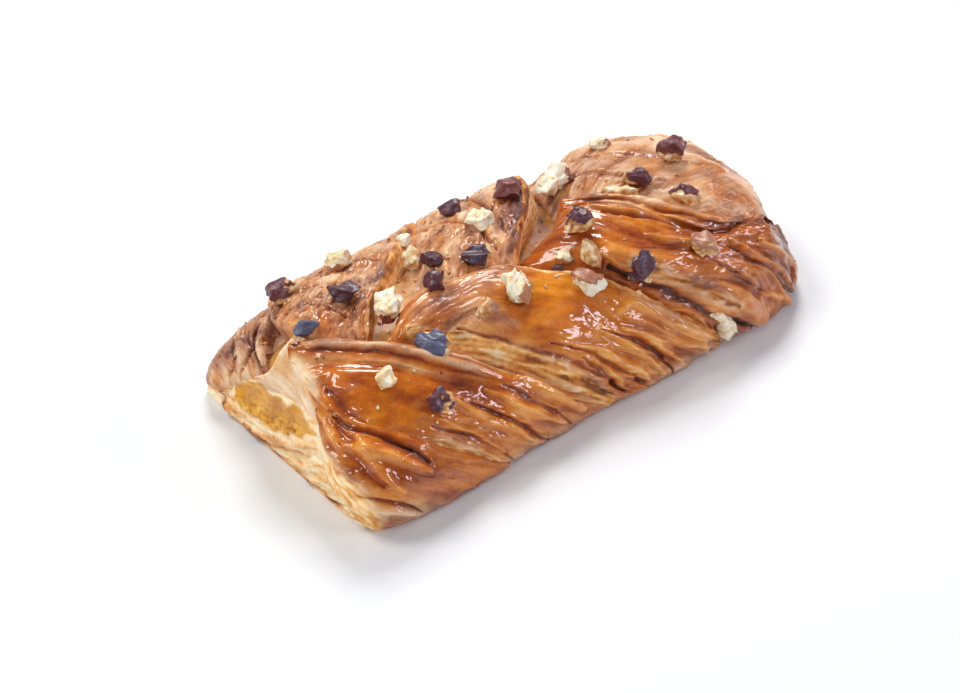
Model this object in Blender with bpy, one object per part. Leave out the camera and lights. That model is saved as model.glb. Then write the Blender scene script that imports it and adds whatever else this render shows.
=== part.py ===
"""Nut plait: a puff pastry braid with a filling down its middle and chopped nuts on top.

The braid is a sheet of laminated dough with a filling laid along it. Its two sides are cut into
strips, which are folded over the filling in turn, so near and far strips cross on the ridge like a
row of arrow heads. Run with: blender --background --python part.py

Places and sizes are in millimetres. MM turns them into metres when a mesh is made.
+X runs along the braid to its rounded end, -Y is the near side and +Z is up. All is laid out
round the middle of the smooth loaf that the strips wrap, and moved at the end, so that the origin
lies under the middle of the finished braid on its flat underside.
"""

import math
import random

import bmesh
import bpy
import numpy as np
from mathutils import Matrix, Vector
from mathutils.bvhtree import BVHTree

MM = 0.001
CREASE_ANGLE = math.radians(40)
FINISHED_MIDDLE = (-0.782, -1.030, 0.0)

# The loaf: the smooth outer form that the strips wrap
HALF_LENGTH = 64.0
HALF_WIDTH = 31.8
HEIGHT = 29.0
SECTION_POWER = 2.18
SQUARE_END_PLAN_POWER = 15.0
ROUND_END_PLAN_POWER = 4.3
SQUARE_END_RIDGE_POWER = 6.4
ROUND_END_RIDGE_POWER = 3.8
SPINE_FROM, SPINE_TO, SPINE_HEIGHT = -50.0, 42.0, 9.0
CURVE_STEPS = 1200
PATH_STEPS = 40

# The dough strips
STRIP_DEPTH = 8.0
EDGE_RADIUS = 1.3
ROOT_RADIUS = 3.0
ROOT_TUCK = 0.8
ROOT_LOW = 0.1
ROOT_LOW_SHARE = 0.5
LIP_START = 0.1
LIP_DROP_KEPT = 0.3
LIP_ROLL_AT, LIP_GROOVE_AT, LIP_WAVE = 0.45, 1.35, 0.35
LIP_GROOVE = 0.8
STRIP_CELLS_ALONG = 18
STRIP_CELLS_ACROSS = 15
LUMP_SIZE = 13.0
LUMP_HEIGHT = 0.55

# The base sheet and end wall under the strips
BASE_INSET = 6.6
ROUND_END_INSET = 2.5
BASE_FOOT_INSET = 1.0
BASE_CELLS_ALONG = 34
BASE_CELLS_AROUND = 26
BASE_POLE = 0.004

# The filling, laid lengthwise
FILLING_HALF_LENGTH = 60.6
FILLING_HALF_WIDTH = 13.0
FILLING_BOTTOM = 9.0
FILLING_COVER = 4.6
FILLING_POWER = 2.6
FILLING_END_POWER = 7.0
FILLING_DIP_AT, FILLING_DIP_WIDTH, FILLING_DIP = 8.0, 9.0, 2.4
FILLING_GAP = 0.3
FILLING_RINGS = 24
FILLING_SIDES = 18
FILLING_POLE = 0.1
FILLING_END_DROP = 0.3

# The nut pieces
NUT_SQUARENESS = 0.78
NUT_BREAKS = 8
FORMED_NUT_BREAKS = 3
NUT_BREAK = (0.62, 0.86)
FINE_NUT_FROM = 9.0
NUT_SINK = 0.8
NUT_GAP = 0.35
NUT_CLEAR = 0.2
NUT_STEP = 0.1
NUT_TRIES = 40
NUT_DROP = 14.0
NUT_MOST_PUSH = 0.45


def oval(angle, power, wide, high):
    """Half an oval that gets squarer as its power rises, from -wide over the top to +wide."""
    across, up = np.cos(angle), np.sin(angle).clip(0)
    return -wide * np.sign(across) * np.abs(across) ** (2 / power), high * up ** (2 / power)


def run_length(first, second):
    """The length along a line, from its first point to each of its points."""
    return np.concatenate([[0.0], np.cumsum(np.hypot(np.diff(first), np.diff(second)))])


# The ridge line, from the square end's foot over the top to the round end's foot
CLIMB = np.linspace(0.0, math.pi / 2, CURVE_STEPS)
SQUARE_X, SQUARE_Z = oval(CLIMB, SQUARE_END_RIDGE_POWER, HALF_LENGTH, HEIGHT)
ROUND_X, ROUND_Z = oval(CLIMB + math.pi / 2, ROUND_END_RIDGE_POWER, HALF_LENGTH, HEIGHT)
RIDGE_X = np.concatenate([SQUARE_X, ROUND_X[1:]])
RIDGE_Z = np.concatenate([SQUARE_Z, ROUND_Z[1:]])
RIDGE_RUN = run_length(RIDGE_X, RIDGE_Z) - run_length(SQUARE_X, SQUARE_Z)[-1]
SQUARE_FOOT, ROUND_FOOT = RIDGE_RUN[0], RIDGE_RUN[-1]

# The girth of a section, from the near edge of the underside over the ridge to the far edge
SECTION_ANGLE = np.linspace(0.0, math.pi, CURVE_STEPS)
GIRTH_RUN = run_length(*oval(SECTION_ANGLE, SECTION_POWER, HALF_WIDTH, HEIGHT))
HALF_GIRTH = GIRTH_RUN[-1] / 2
GIRTH_RUN = GIRTH_RUN - HALF_GIRTH


def loaf(along, around):
    """The point of the loaf's surface at a length along the ridge and a length round the girth.

    Both lengths are 0 at the middle of the ridge. Past the ends, along runs down the end walls.
    """
    x = np.interp(along, RIDGE_RUN, RIDGE_X)
    top = np.interp(along, RIDGE_RUN, RIDGE_Z)
    power = np.where(x < 0, SQUARE_END_PLAN_POWER, ROUND_END_PLAN_POWER)
    half_width = HALF_WIDTH * (1 - np.abs(x / HALF_LENGTH).clip(0, 1) ** power) ** (1 / power)
    y, z = oval(np.interp(around, GIRTH_RUN, SECTION_ANGLE), SECTION_POWER, half_width, top)
    return np.stack([x + 0 * y, y, z], axis=-1)


def outward(along, around, reach=0.5):
    """The direction straight out of the loaf's surface."""
    east = loaf(np.minimum(along + reach, ROUND_FOOT), around)
    west = loaf(np.maximum(along - reach, SQUARE_FOOT), around)
    far = loaf(along, np.minimum(around + reach, HALF_GIRTH))
    near = loaf(along, np.maximum(around - reach, -HALF_GIRTH))
    normal = np.cross(east - west, far - near)
    return normal / np.linalg.norm(normal, axis=-1, keepdims=True).clip(1e-9)


def towards_spine(point, depth):
    """Points moved into the loaf by a depth, towards a line that runs through its middle."""
    spine = np.zeros_like(point)
    spine[..., 0] = point[..., 0].clip(SPINE_FROM, SPINE_TO)
    spine[..., 2] = SPINE_HEIGHT
    inward = spine - point
    return point + inward * (depth / np.linalg.norm(inward, axis=-1, keepdims=True))


def smooth_path(points, count):
    """Evenly spaced points on a smooth curve through a few places."""
    points = np.array(points, dtype=float)
    slopes = np.gradient(points, axis=0)
    steps = np.linspace(0, len(points) - 1, PATH_STEPS * len(points))
    first = np.minimum(steps.astype(int), len(points) - 2)
    f = (steps - first)[:, None]
    curve = ((2 * f**3 - 3 * f**2 + 1) * points[first] + (f**3 - 2 * f**2 + f) * slopes[first]
             + (3 * f**2 - 2 * f**3) * points[first + 1] + (f**3 - f**2) * slopes[first + 1])
    length = run_length(curve[:, 0], curve[:, 1])
    even = np.linspace(0, length[-1], count)
    return np.stack([np.interp(even, length, curve[:, k]) for k in (0, 1)], axis=-1)


def ease(value, start, end):
    """0 up to start, 1 from end, and a smooth climb between them."""
    share = ((value - start) / (end - start)).clip(0, 1)
    return share * share * (3 - 2 * share)


def lumps(point):
    """Low, uneven swellings, between about -1 and 1."""
    x, y, z = (point[..., k] / LUMP_SIZE for k in range(3))
    return (np.sin(2.1 * x + 1.3 * y + 0.4) * np.cos(1.7 * y - 2.3 * z)
            + 0.6 * np.sin(3.9 * x - 2.9 * z + 2.0) * np.cos(3.1 * y + 1.1 * x))


class Strip:
    """One strip of dough, folded over the filling from its root at the braid's foot to its tip.

    left and right are its two edges, root first, as places (along, around) on the loaf, and
    root is the line between their roots where that isn't straight. low is how far its left edge
    lies under the strip before it, and climb is the share of its width over which it comes up
    again. drop and bevel shape the cut right edge, and lip is how high it curls up from the
    share lip_from of its length on. dive is how deep its tip goes under the strips that cross
    it, and dive_length the length of the tip that does so.
    """

    def __init__(self, left, right, root=None, low=0.0, climb=0.5, crown=0.6, proud=0.3,
                 bevel=2.0, drop=1.5, lip=0.0, lip_width=5.0, lip_from=0.5,
                 dive=0.0, dive_length=12.0):
        self.left, self.right, self.root = left, right, root or [left[0], right[0]]
        self.low, self.climb, self.crown, self.proud = low, climb, crown, proud
        self.bevel, self.drop = bevel, drop
        self.lip, self.lip_width, self.lip_from = lip, lip_width, lip_from
        self.dive, self.dive_length = dive, dive_length


# Near strips, then far strips. Each lies over the left part of the one that follows it.
STRIPS = {
    "near_end": Strip(
        left=[(-71, -47.5), (-74, -38), (-74.5, -26), (-70, -14.5), (-64, -7)],
        right=[(-27, -48), (-43, -36), (-54, -23), (-58, -13), (-59.5, -5)],
        low=2.2, climb=1.0, crown=2.2, proud=0.8, dive=5.4, dive_length=34.0),
    "near_1": Strip(
        left=[(-34, -48), (-49, -34.5), (-58, -26), (-62, -18), (-63.5, -10), (-62.5, -2)],
        right=[(-2, -48), (-8.7, -40.7), (-24.9, -26.3), (-36.5, -16.2), (-48, -6.0), (-57, 4.2)],
        crown=1.0, bevel=3.6, drop=2.4, lip=1.3, lip_width=5.0, lip_from=0.45),
    "near_2": Strip(
        left=[(-12, -48), (-22, -38), (-36, -25), (-47, -13)],
        right=[(39, -48), (26.4, -38.3), (14.2, -26.5), (7, -18.4), (-2, -12.2), (-10.8, -5.6),
               (-21, -3.8), (-33.8, -4.4), (-40.5, -9.5)],
        low=-4.6, climb=0.55, proud=1.0, bevel=2.6, drop=1.8, dive=0.8),
    "near_3": Strip(
        left=[(28, -48), (15, -36), (3, -24), (-5, -13), (-4.2, -5.5), (4, -2.5), (13, 3)],
        right=[(74, -45), (72, -36), (67, -29), (54, -24.5), (41.8, -22.0), (34, -15.5),
               (28, -7), (21, -1.0), (17, 3)],
        low=-3.4, climb=0.4, crown=1.8, proud=2.3, bevel=3.0, drop=1.0,
        lip=1.2, lip_width=5.5, lip_from=0.4, dive=4.0, dive_length=32.0),
    "far_end": Strip(
        left=[(-69, 46.5), (-73, 38), (-74.5, 29), (-72.5, 18), (-69, 10)],
        right=[(-26, 48), (-40, 34), (-50, 24), (-56, 18.5), (-63, 12.5)],
        low=-1.9, climb=1.0, crown=0.3, proud=-2.2, bevel=1.5, drop=1.0, dive=2.0,
        dive_length=20.0),
    "far_1": Strip(
        left=[(-36, 48), (-46, 32), (-54, 18), (-56, 11), (-55, 5), (-56, -3)],
        right=[(8, 48), (-6, 30), (-20.7, 14.5), (-26.8, 9.2), (-33, 4.5), (-38, 0.5), (-43, -5),
               (-48, -10)],
        low=-1.0, climb=0.3, proud=0.0, bevel=1.0, drop=0.6, dive=4.2),
    "far_2": Strip(
        left=[(-8, 48), (-17, 30), (-23, 14), (-26, 6), (-29, -3), (-32, -9)],
        right=[(30, 48), (21, 31), (15.5, 15.9), (9.1, 7.1), (0.7, -0.8), (-4, -6), (-8, -12)],
        low=-4.6, climb=0.5, bevel=0.8, drop=0.5, dive=4.2),
    "far_3": Strip(
        left=[(26, 48), (20, 30), (16.5, 14), (13.5, 4), (14, -5)],
        right=[(66, -44), (66, -36), (56, -30), (44, -27), (34, -19)],
        root=[(26, 48), (56, 47.6), (75, 38), (81.5, 0), (79, -30), (66, -44)],
        low=-4.4, climb=0.22, crown=0.6, proud=-0.4, bevel=4.0, drop=1.4,
        dive=4.4, dive_length=14.0),
}
WEB = Strip(
    left=[(-70, 13), (-66, 5.5), (-60, 4.4), (-56, 4.6)],
    right=[(-73, -20), (-67, -14), (-60, -2), (-55, 1)],
    crown=0.3, proud=-1.0, bevel=1.0, drop=0.4)


def edge_round(distance, radius):
    """How far a rounded edge drops at a distance in from it."""
    share = (1 - distance / radius).clip(0, 1)
    return radius * (1 - np.sqrt(1 - share**2))


def lip_wave(place):
    """A rolled lip of height 1 up to place 1, and the groove behind it."""
    roll = np.exp(-((place - LIP_ROLL_AT) / LIP_WAVE) ** 2)
    groove = np.exp(-((place - LIP_GROOVE_AT) / LIP_WAVE) ** 2)
    return roll - LIP_GROOVE * groove


def strip_top(strip, cells_along, cells_across):
    """The upper face of a strip: rows of points from root to tip, each from left to right."""
    left = smooth_path(strip.left, cells_along + 1)
    right = smooth_path(strip.right, cells_along + 1)
    u = np.linspace(0, 1, cells_along + 1)[:, None]
    v = 0.5 - 0.5 * np.cos(np.linspace(0, math.pi, cells_across + 1))
    root = smooth_path(strip.root, cells_across + 1)
    bow = root - (left[0] * (1 - v[:, None]) + right[0] * v[:, None])
    place = (left[:, None] * (1 - v[:, None]) + right[:, None] * v[:, None]
             + bow[None] * (1 - u[..., None]))
    along, around = place[..., 0], place[..., 1]
    width = np.linalg.norm(right - left, axis=-1)[:, None]
    length = (run_length(*left.T)[-1] + run_length(*right.T)[-1]) / 2
    from_root = u * length
    surface = loaf(along, around)
    low = strip.low * (ROOT_LOW + (1 - ROOT_LOW) * ease(u, 0, ROOT_LOW_SHARE))
    level = low + (strip.proud - low) * ease(v, 0, strip.climb)
    level = level + strip.crown * 4 * v * (1 - v) + LUMP_HEIGHT * lumps(surface)
    from_right = (1 - v) * width
    curled = ease(u, strip.lip_from - LIP_START, strip.lip_from + LIP_START)
    curled = curled * ease(width, strip.lip_width, 3 * strip.lip_width)
    drop = strip.drop * (1 - (1 - LIP_DROP_KEPT) * curled * (strip.lip > 0))
    level = level - drop * ease(from_right, strip.bevel, 0)
    level = level + strip.lip * curled * lip_wave(from_right / strip.lip_width)
    level = level - edge_round(np.minimum(v, 1 - v) * width, EDGE_RADIUS)
    level = level - ROOT_TUCK * ease(from_root, ROOT_RADIUS, 0)
    level = level - strip.dive * ease(length - from_root, strip.dive_length, 0)
    return surface + outward(along, around) * level[..., None]


def add_object(name, points, faces, collection):
    """A mesh object from points in millimetres and faces, with its faces turned outwards."""
    mesh = bpy.data.meshes.new(name)
    mesh.from_pydata([Vector(p) * MM for p in points], [], faces)
    shape = bmesh.new()
    shape.from_mesh(mesh)
    bmesh.ops.recalc_face_normals(shape, faces=shape.faces)
    shape.to_mesh(mesh)
    shape.free()
    thing = bpy.data.objects.new(name, mesh)
    collection.objects.link(thing)
    return thing


def loft(name, rings, collection):
    """A closed solid through a row of rings, each end closed by a fan round its middle."""
    count, around = rings.shape[:2]
    points = [p for ring in rings for p in ring]
    faces = []
    for i in range(count - 1):
        for j in range(around):
            k = (j + 1) % around
            faces.append((i * around + j, (i + 1) * around + j, (i + 1) * around + k, i * around + k))
    for start, ring in ((0, rings[0]), ((count - 1) * around, rings[-1])):
        points.append(ring.mean(axis=0))
        faces += [(start + j, start + (j + 1) % around, len(points) - 1) for j in range(around)]
    return add_object(name, points, faces, collection)


def strip_solid(name, strip, collection):
    """A strip with its underside sunk into the loaf, so that it joins what lies under it."""
    top = strip_top(strip, STRIP_CELLS_ALONG, STRIP_CELLS_ACROSS)
    feet = towards_spine(top[:, [0, -1]], STRIP_DEPTH)
    return loft(name, np.concatenate([feet[:, :1], top, feet[:, 1:]], axis=1), collection)


def base_solid(collection):
    """The base sheet with its end walls: the loaf made smaller, on a flat underside."""
    share = np.linspace(BASE_POLE, 1 - BASE_POLE, BASE_CELLS_ALONG)
    along = SQUARE_FOOT + (ROUND_FOOT - SQUARE_FOOT) * share
    around = np.linspace(-HALF_GIRTH, HALF_GIRTH, BASE_CELLS_AROUND)
    rings = loaf(along[:, None], around[None])
    rings[..., 0] *= np.where(rings[..., 0] < 0, 1, 1 - ROUND_END_INSET / HALF_LENGTH)
    rings[..., 1] *= 1 - BASE_FOOT_INSET / HALF_WIDTH
    rings[..., 2] *= 1 - BASE_INSET / HEIGHT
    return loft("pastry", rings, collection)


def filling_solid(name, swell, collection):
    """The filling, swollen all round by swell where it serves as the cutter for its own bed."""
    half_length = FILLING_HALF_LENGTH + swell
    pole = np.linspace(FILLING_POLE, math.pi - FILLING_POLE, FILLING_RINGS)
    along = -half_length * np.cos(pole)
    end = (1 - np.abs(along / half_length) ** FILLING_END_POWER) ** (1 / FILLING_END_POWER)
    dip = FILLING_DIP * np.exp(-((along - FILLING_DIP_AT) / FILLING_DIP_WIDTH) ** 2)
    top = np.interp(along, RIDGE_X, RIDGE_Z) - FILLING_COVER - dip
    middle = (top + FILLING_BOTTOM) / 2
    angle = np.linspace(0, 2 * math.pi, FILLING_SIDES + 1)[:-1]
    c, s = np.cos(angle), np.sin(angle)
    rings = np.zeros((len(along), len(angle), 3))
    rings[..., 0] = along[:, None]
    rings[..., 1] = ((FILLING_HALF_WIDTH * end + swell)[:, None]
                     * np.sign(c) * np.abs(c) ** (2 / FILLING_POWER))
    half_height = (top - FILLING_BOTTOM) / 2 * end**FILLING_END_DROP + swell
    rings[..., 2] = middle[:, None] + (half_height[:, None]
                                       * np.sign(s) * np.abs(s) ** (2 / FILLING_POWER))
    return loft(name, rings, collection)


def apply_boolean(thing, operation, solver="EXACT", other=None, others=None):
    """Cut or join, and keep the result."""
    cut = thing.modifiers.new("boolean", "BOOLEAN")
    cut.operation = operation
    cut.solver = solver
    if others is None:
        cut.object = other
    else:
        cut.operand_type = "COLLECTION"
        cut.collection = others
    evaluated = thing.evaluated_get(bpy.context.evaluated_depsgraph_get())
    result = bpy.data.meshes.new_from_object(evaluated)
    thing.modifiers.remove(cut)
    old, thing.data = thing.data, result
    bpy.data.meshes.remove(old)


def remove_objects(things):
    for thing in list(things):
        bpy.data.objects.remove(thing, do_unlink=True)


def new_collection(name):
    collection = bpy.data.collections.new(name)
    bpy.context.scene.collection.children.link(collection)
    return collection


def material(name, colour, roughness):
    """A plain finish: its colour is linear red, green and blue."""
    finish = bpy.data.materials.new(name)
    finish.use_nodes = True
    shader = finish.node_tree.nodes["Principled BSDF"]
    shader.inputs["Base Color"].default_value = (*colour, 1.0)
    shader.inputs["Roughness"].default_value = roughness
    shader.inputs["Metallic"].default_value = 0.0
    return finish


def largest_body(thing):
    """Drops loose scraps that joining may leave, and keeps the one large body."""
    shape = bmesh.new()
    shape.from_mesh(thing.data)
    left, bodies = set(shape.verts), []
    while left:
        body, edge = set(), [left.pop()]
        while edge:
            vertex = edge.pop()
            body.add(vertex)
            near = {e.other_vert(vertex) for e in vertex.link_edges} & left
            left -= near
            edge.extend(near)
        bodies.append(body)
    bodies.sort(key=len)
    for body in bodies[:-1]:
        bmesh.ops.delete(shape, geom=list(body), context="VERTS")
    shape.to_mesh(thing.data)
    shape.free()
    return len(bodies)


def make_pastry(parts, cutters):
    """Joins the base and the strips, and cuts the bed of the filling into them."""
    pastry = base_solid(parts)
    folds = new_collection("folds")
    for name, strip in STRIPS.items():
        strip_solid(name, strip, folds)
    strip_solid("web", WEB, folds)
    apply_boolean(pastry, "UNION", "MANIFOLD", others=folds)
    remove_objects(folds.objects)
    bpy.data.collections.remove(folds)
    bed = filling_solid("filling_bed", FILLING_GAP, cutters)
    apply_boolean(pastry, "DIFFERENCE", "MANIFOLD", other=bed)
    print("pastry bodies", largest_body(pastry), "faces", len(pastry.data.polygons))
    return pastry


class Nut:
    """One chopped nut: where it lies on the loaf, its size, how its length is turned from the
    braid's length towards the far side, and the form it broke into."""

    def __init__(self, along, around, size, turn, form="chunk", skin=False):
        self.along, self.around, self.size = along, around, size
        self.turn, self.form, self.skin = turn, form, skin


NUTS = [
    Nut(-48.4, 17.8, (7.6, 7.0, 5.4), -20, skin=True),
    Nut(-34.5, 17.1, (7.2, 5.6, 5.0), -40),
    Nut(-41.6, 5.3, (7.2, 5.4, 5.0), -45, "wedge", skin=True),
    Nut(-53.4, 3.8, (5.6, 4.2, 3.6), -20, "wedge", skin=True),
    Nut(-37.8, -3.8, (8.6, 7.4, 6.6), -40),
    Nut(-18.1, 16.1, (4.4, 4.0, 3.6), 0),
    Nut(-21.7, 9.5, (5.8, 5.4, 5.4), 50),
    Nut(-19.5, 4.4, (4.4, 4.2, 4.2), 0, skin=True),
    Nut(-27, -5.3, (5.2, 5.0, 4.8), 10, skin=True),
    Nut(-4.2, 17.3, (7.0, 4.8, 4.0), -40, skin=True),
    Nut(-5.4, 5.8, (8.6, 6.8, 4.2), 60, "forked"),
    Nut(-13.6, -2.3, (8.4, 6.4, 3.6), -40, "forked", skin=True),
    Nut(6.9, 11.1, (8.6, 6.8, 5.0), -40, skin=True),
    Nut(18.8, 10.2, (12.6, 8.4, 8.6), 28, "lobed"),
    Nut(37.6, 16.2, (5.8, 4.6, 4.2), -30),
    Nut(44.6, 0.5, (7.4, 7.4, 6.4), 10, skin=True),
    Nut(32.4, -2.2, (7.4, 4.8, 4.6), -40, skin=True),
    Nut(25.6, -4.4, (8.6, 4.6, 4.8), -50, "lobed"),
    Nut(38.6, -11.7, (8.4, 5.0, 4.2), -35, skin=True),
    Nut(8.6, -9.2, (7.2, 6.4, 6.0), -10, skin=True),
    Nut(6.4, -15.6, (8.2, 4.8, 4.0), 79),
    Nut(3.0, -12.0, (4.8, 3.6, 2.4), -40, "shard"),
    Nut(0.6, -14.0, (4.8, 3.2, 2.6), -40, skin=True),
    Nut(14.8, -23.2, (8.6, 7.2, 5.0), 20, skin=True),
    Nut(30.1, -24.2, (7.6, 6.8, 4.8), -40, skin=True),
    Nut(2.4, -20.6, (8.8, 6.8, 4.8), -40, skin=True),
    Nut(-12.9, -14.1, (9.4, 7.2, 5.4), 55, "forked"),
    Nut(-22.3, -15.9, (5.6, 5.2, 4.4), 0),
    Nut(-36, -16.5, (8.8, 6.4, 4.8), -40, "forked", skin=True),
    Nut(-50, -17.8, (5.4, 4.8, 4.4), 0),
    Nut(-41.9, -26.8, (6.4, 5.8, 4.4), -10, "cup", skin=True),
    Nut(31.2, -41.4, (11.2, 5.2, 4.6), -60, "lobed"),
]


def broken_form(nut, seed, detail):
    """A closed mesh of a broken nut round its own middle, in millimetres, as a bmesh."""
    shape = bmesh.new()
    bmesh.ops.create_icosphere(shape, subdivisions=detail, radius=1.0)
    draw = random.Random(seed)
    sphere = np.array([v.co for v in shape.verts])
    x, y, z = (np.sign(sphere) * np.abs(sphere) ** NUT_SQUARENESS).T
    if nut.form == "lobed":
        waist = (0.9 + 0.12 * x) * (1 - 0.4 * np.exp(-((x + 0.15) / 0.3) ** 2))
        y, z = y * waist, z * waist
    if nut.form == "forked":
        x = x * (1 - 0.5 * np.exp(-(y / 0.3) ** 2) * (x > 0))
        z = z * (1 - 0.35 * np.exp(-((y - 0.1) / 0.28) ** 2))
    if nut.form == "wedge":
        z, y = z * (0.62 - 0.38 * x), y * (0.8 - 0.2 * x)
    if nut.form == "cup":
        z = z - 0.75 * np.exp(-(x * x + y * y) / 0.22) * (z > 0)
    if nut.form == "shard":
        x = x * (1 + 0.3 * np.sin(7 * y))
        z = z * (0.6 + 0.5 * np.cos(5 * x))
    points = np.stack([x, y, z], axis=-1) * np.array(nut.size) / 2
    for _ in range(NUT_BREAKS if nut.form == "chunk" else FORMED_NUT_BREAKS):
        side = np.array([draw.gauss(0, 1), draw.gauss(0, 1), draw.gauss(0, 0.8)])
        side = side / np.linalg.norm(side)
        reach = points @ side
        cut = draw.uniform(*NUT_BREAK) * reach.max()
        points = points - np.maximum(reach - cut, 0)[:, None] * side
    for vertex, point in zip(shape.verts, points):
        vertex.co = point
    return shape


def height_over(point, above, trees):
    """How high a point in millimetres lies over the highest mesh under it."""
    start = (point + above * NUT_DROP) * MM
    found = [tree.ray_cast(start, -above) for tree in trees]
    return min([hit[3] / MM for hit in found if hit[0]], default=2 * NUT_DROP) - NUT_DROP


def lay_nut(nut, number, beds, others, collection):
    """Lays a nut on the pastry: its underside follows what it lies on, a small gap above it."""
    fine = nut.form != "chunk" or nut.size[0] > FINE_NUT_FROM
    shape = broken_form(nut, number, 3 if fine else 2)
    above = Vector(outward(np.array(nut.along), np.array(nut.around)))
    east = Vector(loaf(nut.along + 1.0, nut.around) - loaf(nut.along - 1.0, nut.around))
    east = (east - above * east.dot(above)).normalized()
    far = above.cross(east)
    turn = math.radians(nut.turn)
    length_way = east * math.cos(turn) + far * math.sin(turn)
    width_way = above.cross(length_way)
    place = Vector(loaf(nut.along, nut.around))
    bed = place - above * height_over(place, above, beds)
    middle = bed + above * (nut.size[2] / 2 - NUT_SINK)
    for vertex in shape.verts:
        x, y, z = vertex.co
        point = middle + length_way * x + width_way * y + above * z
        push = NUT_GAP - height_over(point, above, beds)
        vertex.co = point + above * min(max(push, 0), NUT_MOST_PUSH * nut.size[2])
    raised = 0
    while raised < NUT_TRIES and touches(shape, above * -NUT_CLEAR, beds + others):
        bmesh.ops.translate(shape, verts=shape.verts, vec=above * NUT_STEP)
        raised += 1
    if raised:
        print("nut", number, "raised", round(raised * NUT_STEP, 1), "mm")
    points = [v.co.copy() for v in shape.verts]
    faces = [[v.index for v in f.verts] for f in shape.faces]
    shape.free()
    return add_object(f"nut_{number:02d}", points, faces, collection)


def touches(shape, shift, trees):
    """Whether a mesh in millimetres, moved by a shift, cuts any of some meshes in metres."""
    points = [(v.co + shift) * MM for v in shape.verts]
    faces = [[v.index for v in f.verts] for f in shape.faces]
    tree = BVHTree.FromPolygons(points, faces)
    return any(tree.overlap(other) for other in trees)


def search_tree(thing):
    return BVHTree.FromPolygons([v.co for v in thing.data.vertices],
                                [p.vertices for p in thing.data.polygons])


def main():
    remove_objects(bpy.data.objects)
    parts = new_collection("nut_plait")
    cutters = new_collection("cutters")
    pastry = make_pastry(parts, cutters)
    filling = filling_solid("filling", 0.0, parts)
    for cutter in cutters.objects:
        cutter.hide_render = True
        cutter.display_type = "WIRE"
    skin = material("nut_skin", (0.06, 0.015, 0.02), 0.4)
    flesh = material("nut_flesh", (0.75, 0.55, 0.30), 0.6)
    beds, laid = [search_tree(pastry), search_tree(filling)], []
    for number, nut in enumerate(NUTS, 1):
        piece = lay_nut(nut, number, beds, laid, parts)
        piece.data.materials.append(skin if nut.skin else flesh)
        laid.append(search_tree(piece))
    pastry.data.materials.clear()
    pastry.data.materials.append(material("baked_pastry", (0.45, 0.17, 0.03), 0.35))
    filling.data.materials.append(material("maple_filling", (0.50, 0.30, 0.08), 0.4))
    for thing in (pastry, filling):
        thing.data.shade_smooth()
        thing.data.set_sharp_from_angle(angle=CREASE_ANGLE)
    to_origin = Matrix.Translation(Vector(FINISHED_MIDDLE) * -MM)
    for thing in [*parts.objects, *cutters.objects]:
        thing.data.transform(to_origin)


main()
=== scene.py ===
# %% [markdown]
# # The looks of a nut plait
#
# The real thing is a braid of laminated (puff) pastry, wrapped round a soft maple filling, brushed
# with syrup and strewn with chopped pecans. The plain solids of the model come in first, as a
# fixed frame. Everything after that is a finer skin for one of those solids: this script repeats
# the few formulas that shaped them, works them out on a much finer grid, and adds what an oven
# adds: blisters, creases, flaky edges and shine.
#
# Lengths are in millimetres until a mesh is made, and colours are worked out by the material.

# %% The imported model
import math
import random

import bmesh
import bpy
import numpy as np
from mathutils import Matrix, Vector
from mathutils import noise as solid_noise
from mathutils.bvhtree import BVHTree


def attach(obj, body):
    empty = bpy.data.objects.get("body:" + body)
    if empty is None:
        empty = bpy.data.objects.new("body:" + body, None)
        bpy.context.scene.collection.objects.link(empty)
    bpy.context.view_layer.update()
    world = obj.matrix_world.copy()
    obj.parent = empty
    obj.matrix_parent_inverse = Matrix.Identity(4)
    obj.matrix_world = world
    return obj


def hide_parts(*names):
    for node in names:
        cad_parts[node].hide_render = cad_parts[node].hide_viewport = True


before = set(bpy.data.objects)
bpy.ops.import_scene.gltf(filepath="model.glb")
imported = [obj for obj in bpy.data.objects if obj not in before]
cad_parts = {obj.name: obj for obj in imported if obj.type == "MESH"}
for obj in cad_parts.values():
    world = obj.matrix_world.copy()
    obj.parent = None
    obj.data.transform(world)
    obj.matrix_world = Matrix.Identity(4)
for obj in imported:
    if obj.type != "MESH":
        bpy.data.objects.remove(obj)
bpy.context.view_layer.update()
MM = 0.001
FINISHED_MIDDLE = np.array([-0.782, -1.030, 0.0])

# %% [markdown]
# ## The loaf that the strips wrap
#
# Under the braid lies one smooth form, flat below and rounded above. Two lengths give a place on
# it: **along**, measured over the ridge from end to end, and **around**, measured over the girth
# from the near edge to the far one. On a curved body such lengths are easier to work with than
# x, y and z: a strip of dough keeps its width in them, wherever it lies.

# %% The ridge and the girth
HALF_LENGTH, HALF_WIDTH, HEIGHT = 64.0, 31.8, 29.0
SECTION_POWER = 2.18
SQUARE_END_PLAN_POWER, ROUND_END_PLAN_POWER = 15.0, 4.3
SQUARE_END_RIDGE_POWER, ROUND_END_RIDGE_POWER = 6.4, 3.8
CURVE_STEPS = 1200


def oval(angle, power, wide, high):
    """Half an oval that gets squarer as its power rises, from -wide over the top to +wide."""
    across, up = np.cos(angle), np.sin(angle).clip(0)
    return -wide * np.sign(across) * np.abs(across) ** (2 / power), high * up ** (2 / power)


def run_length(first, second):
    """The length along a line, from its first point to each of its points."""
    return np.concatenate([[0.0], np.cumsum(np.hypot(np.diff(first), np.diff(second)))])


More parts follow.
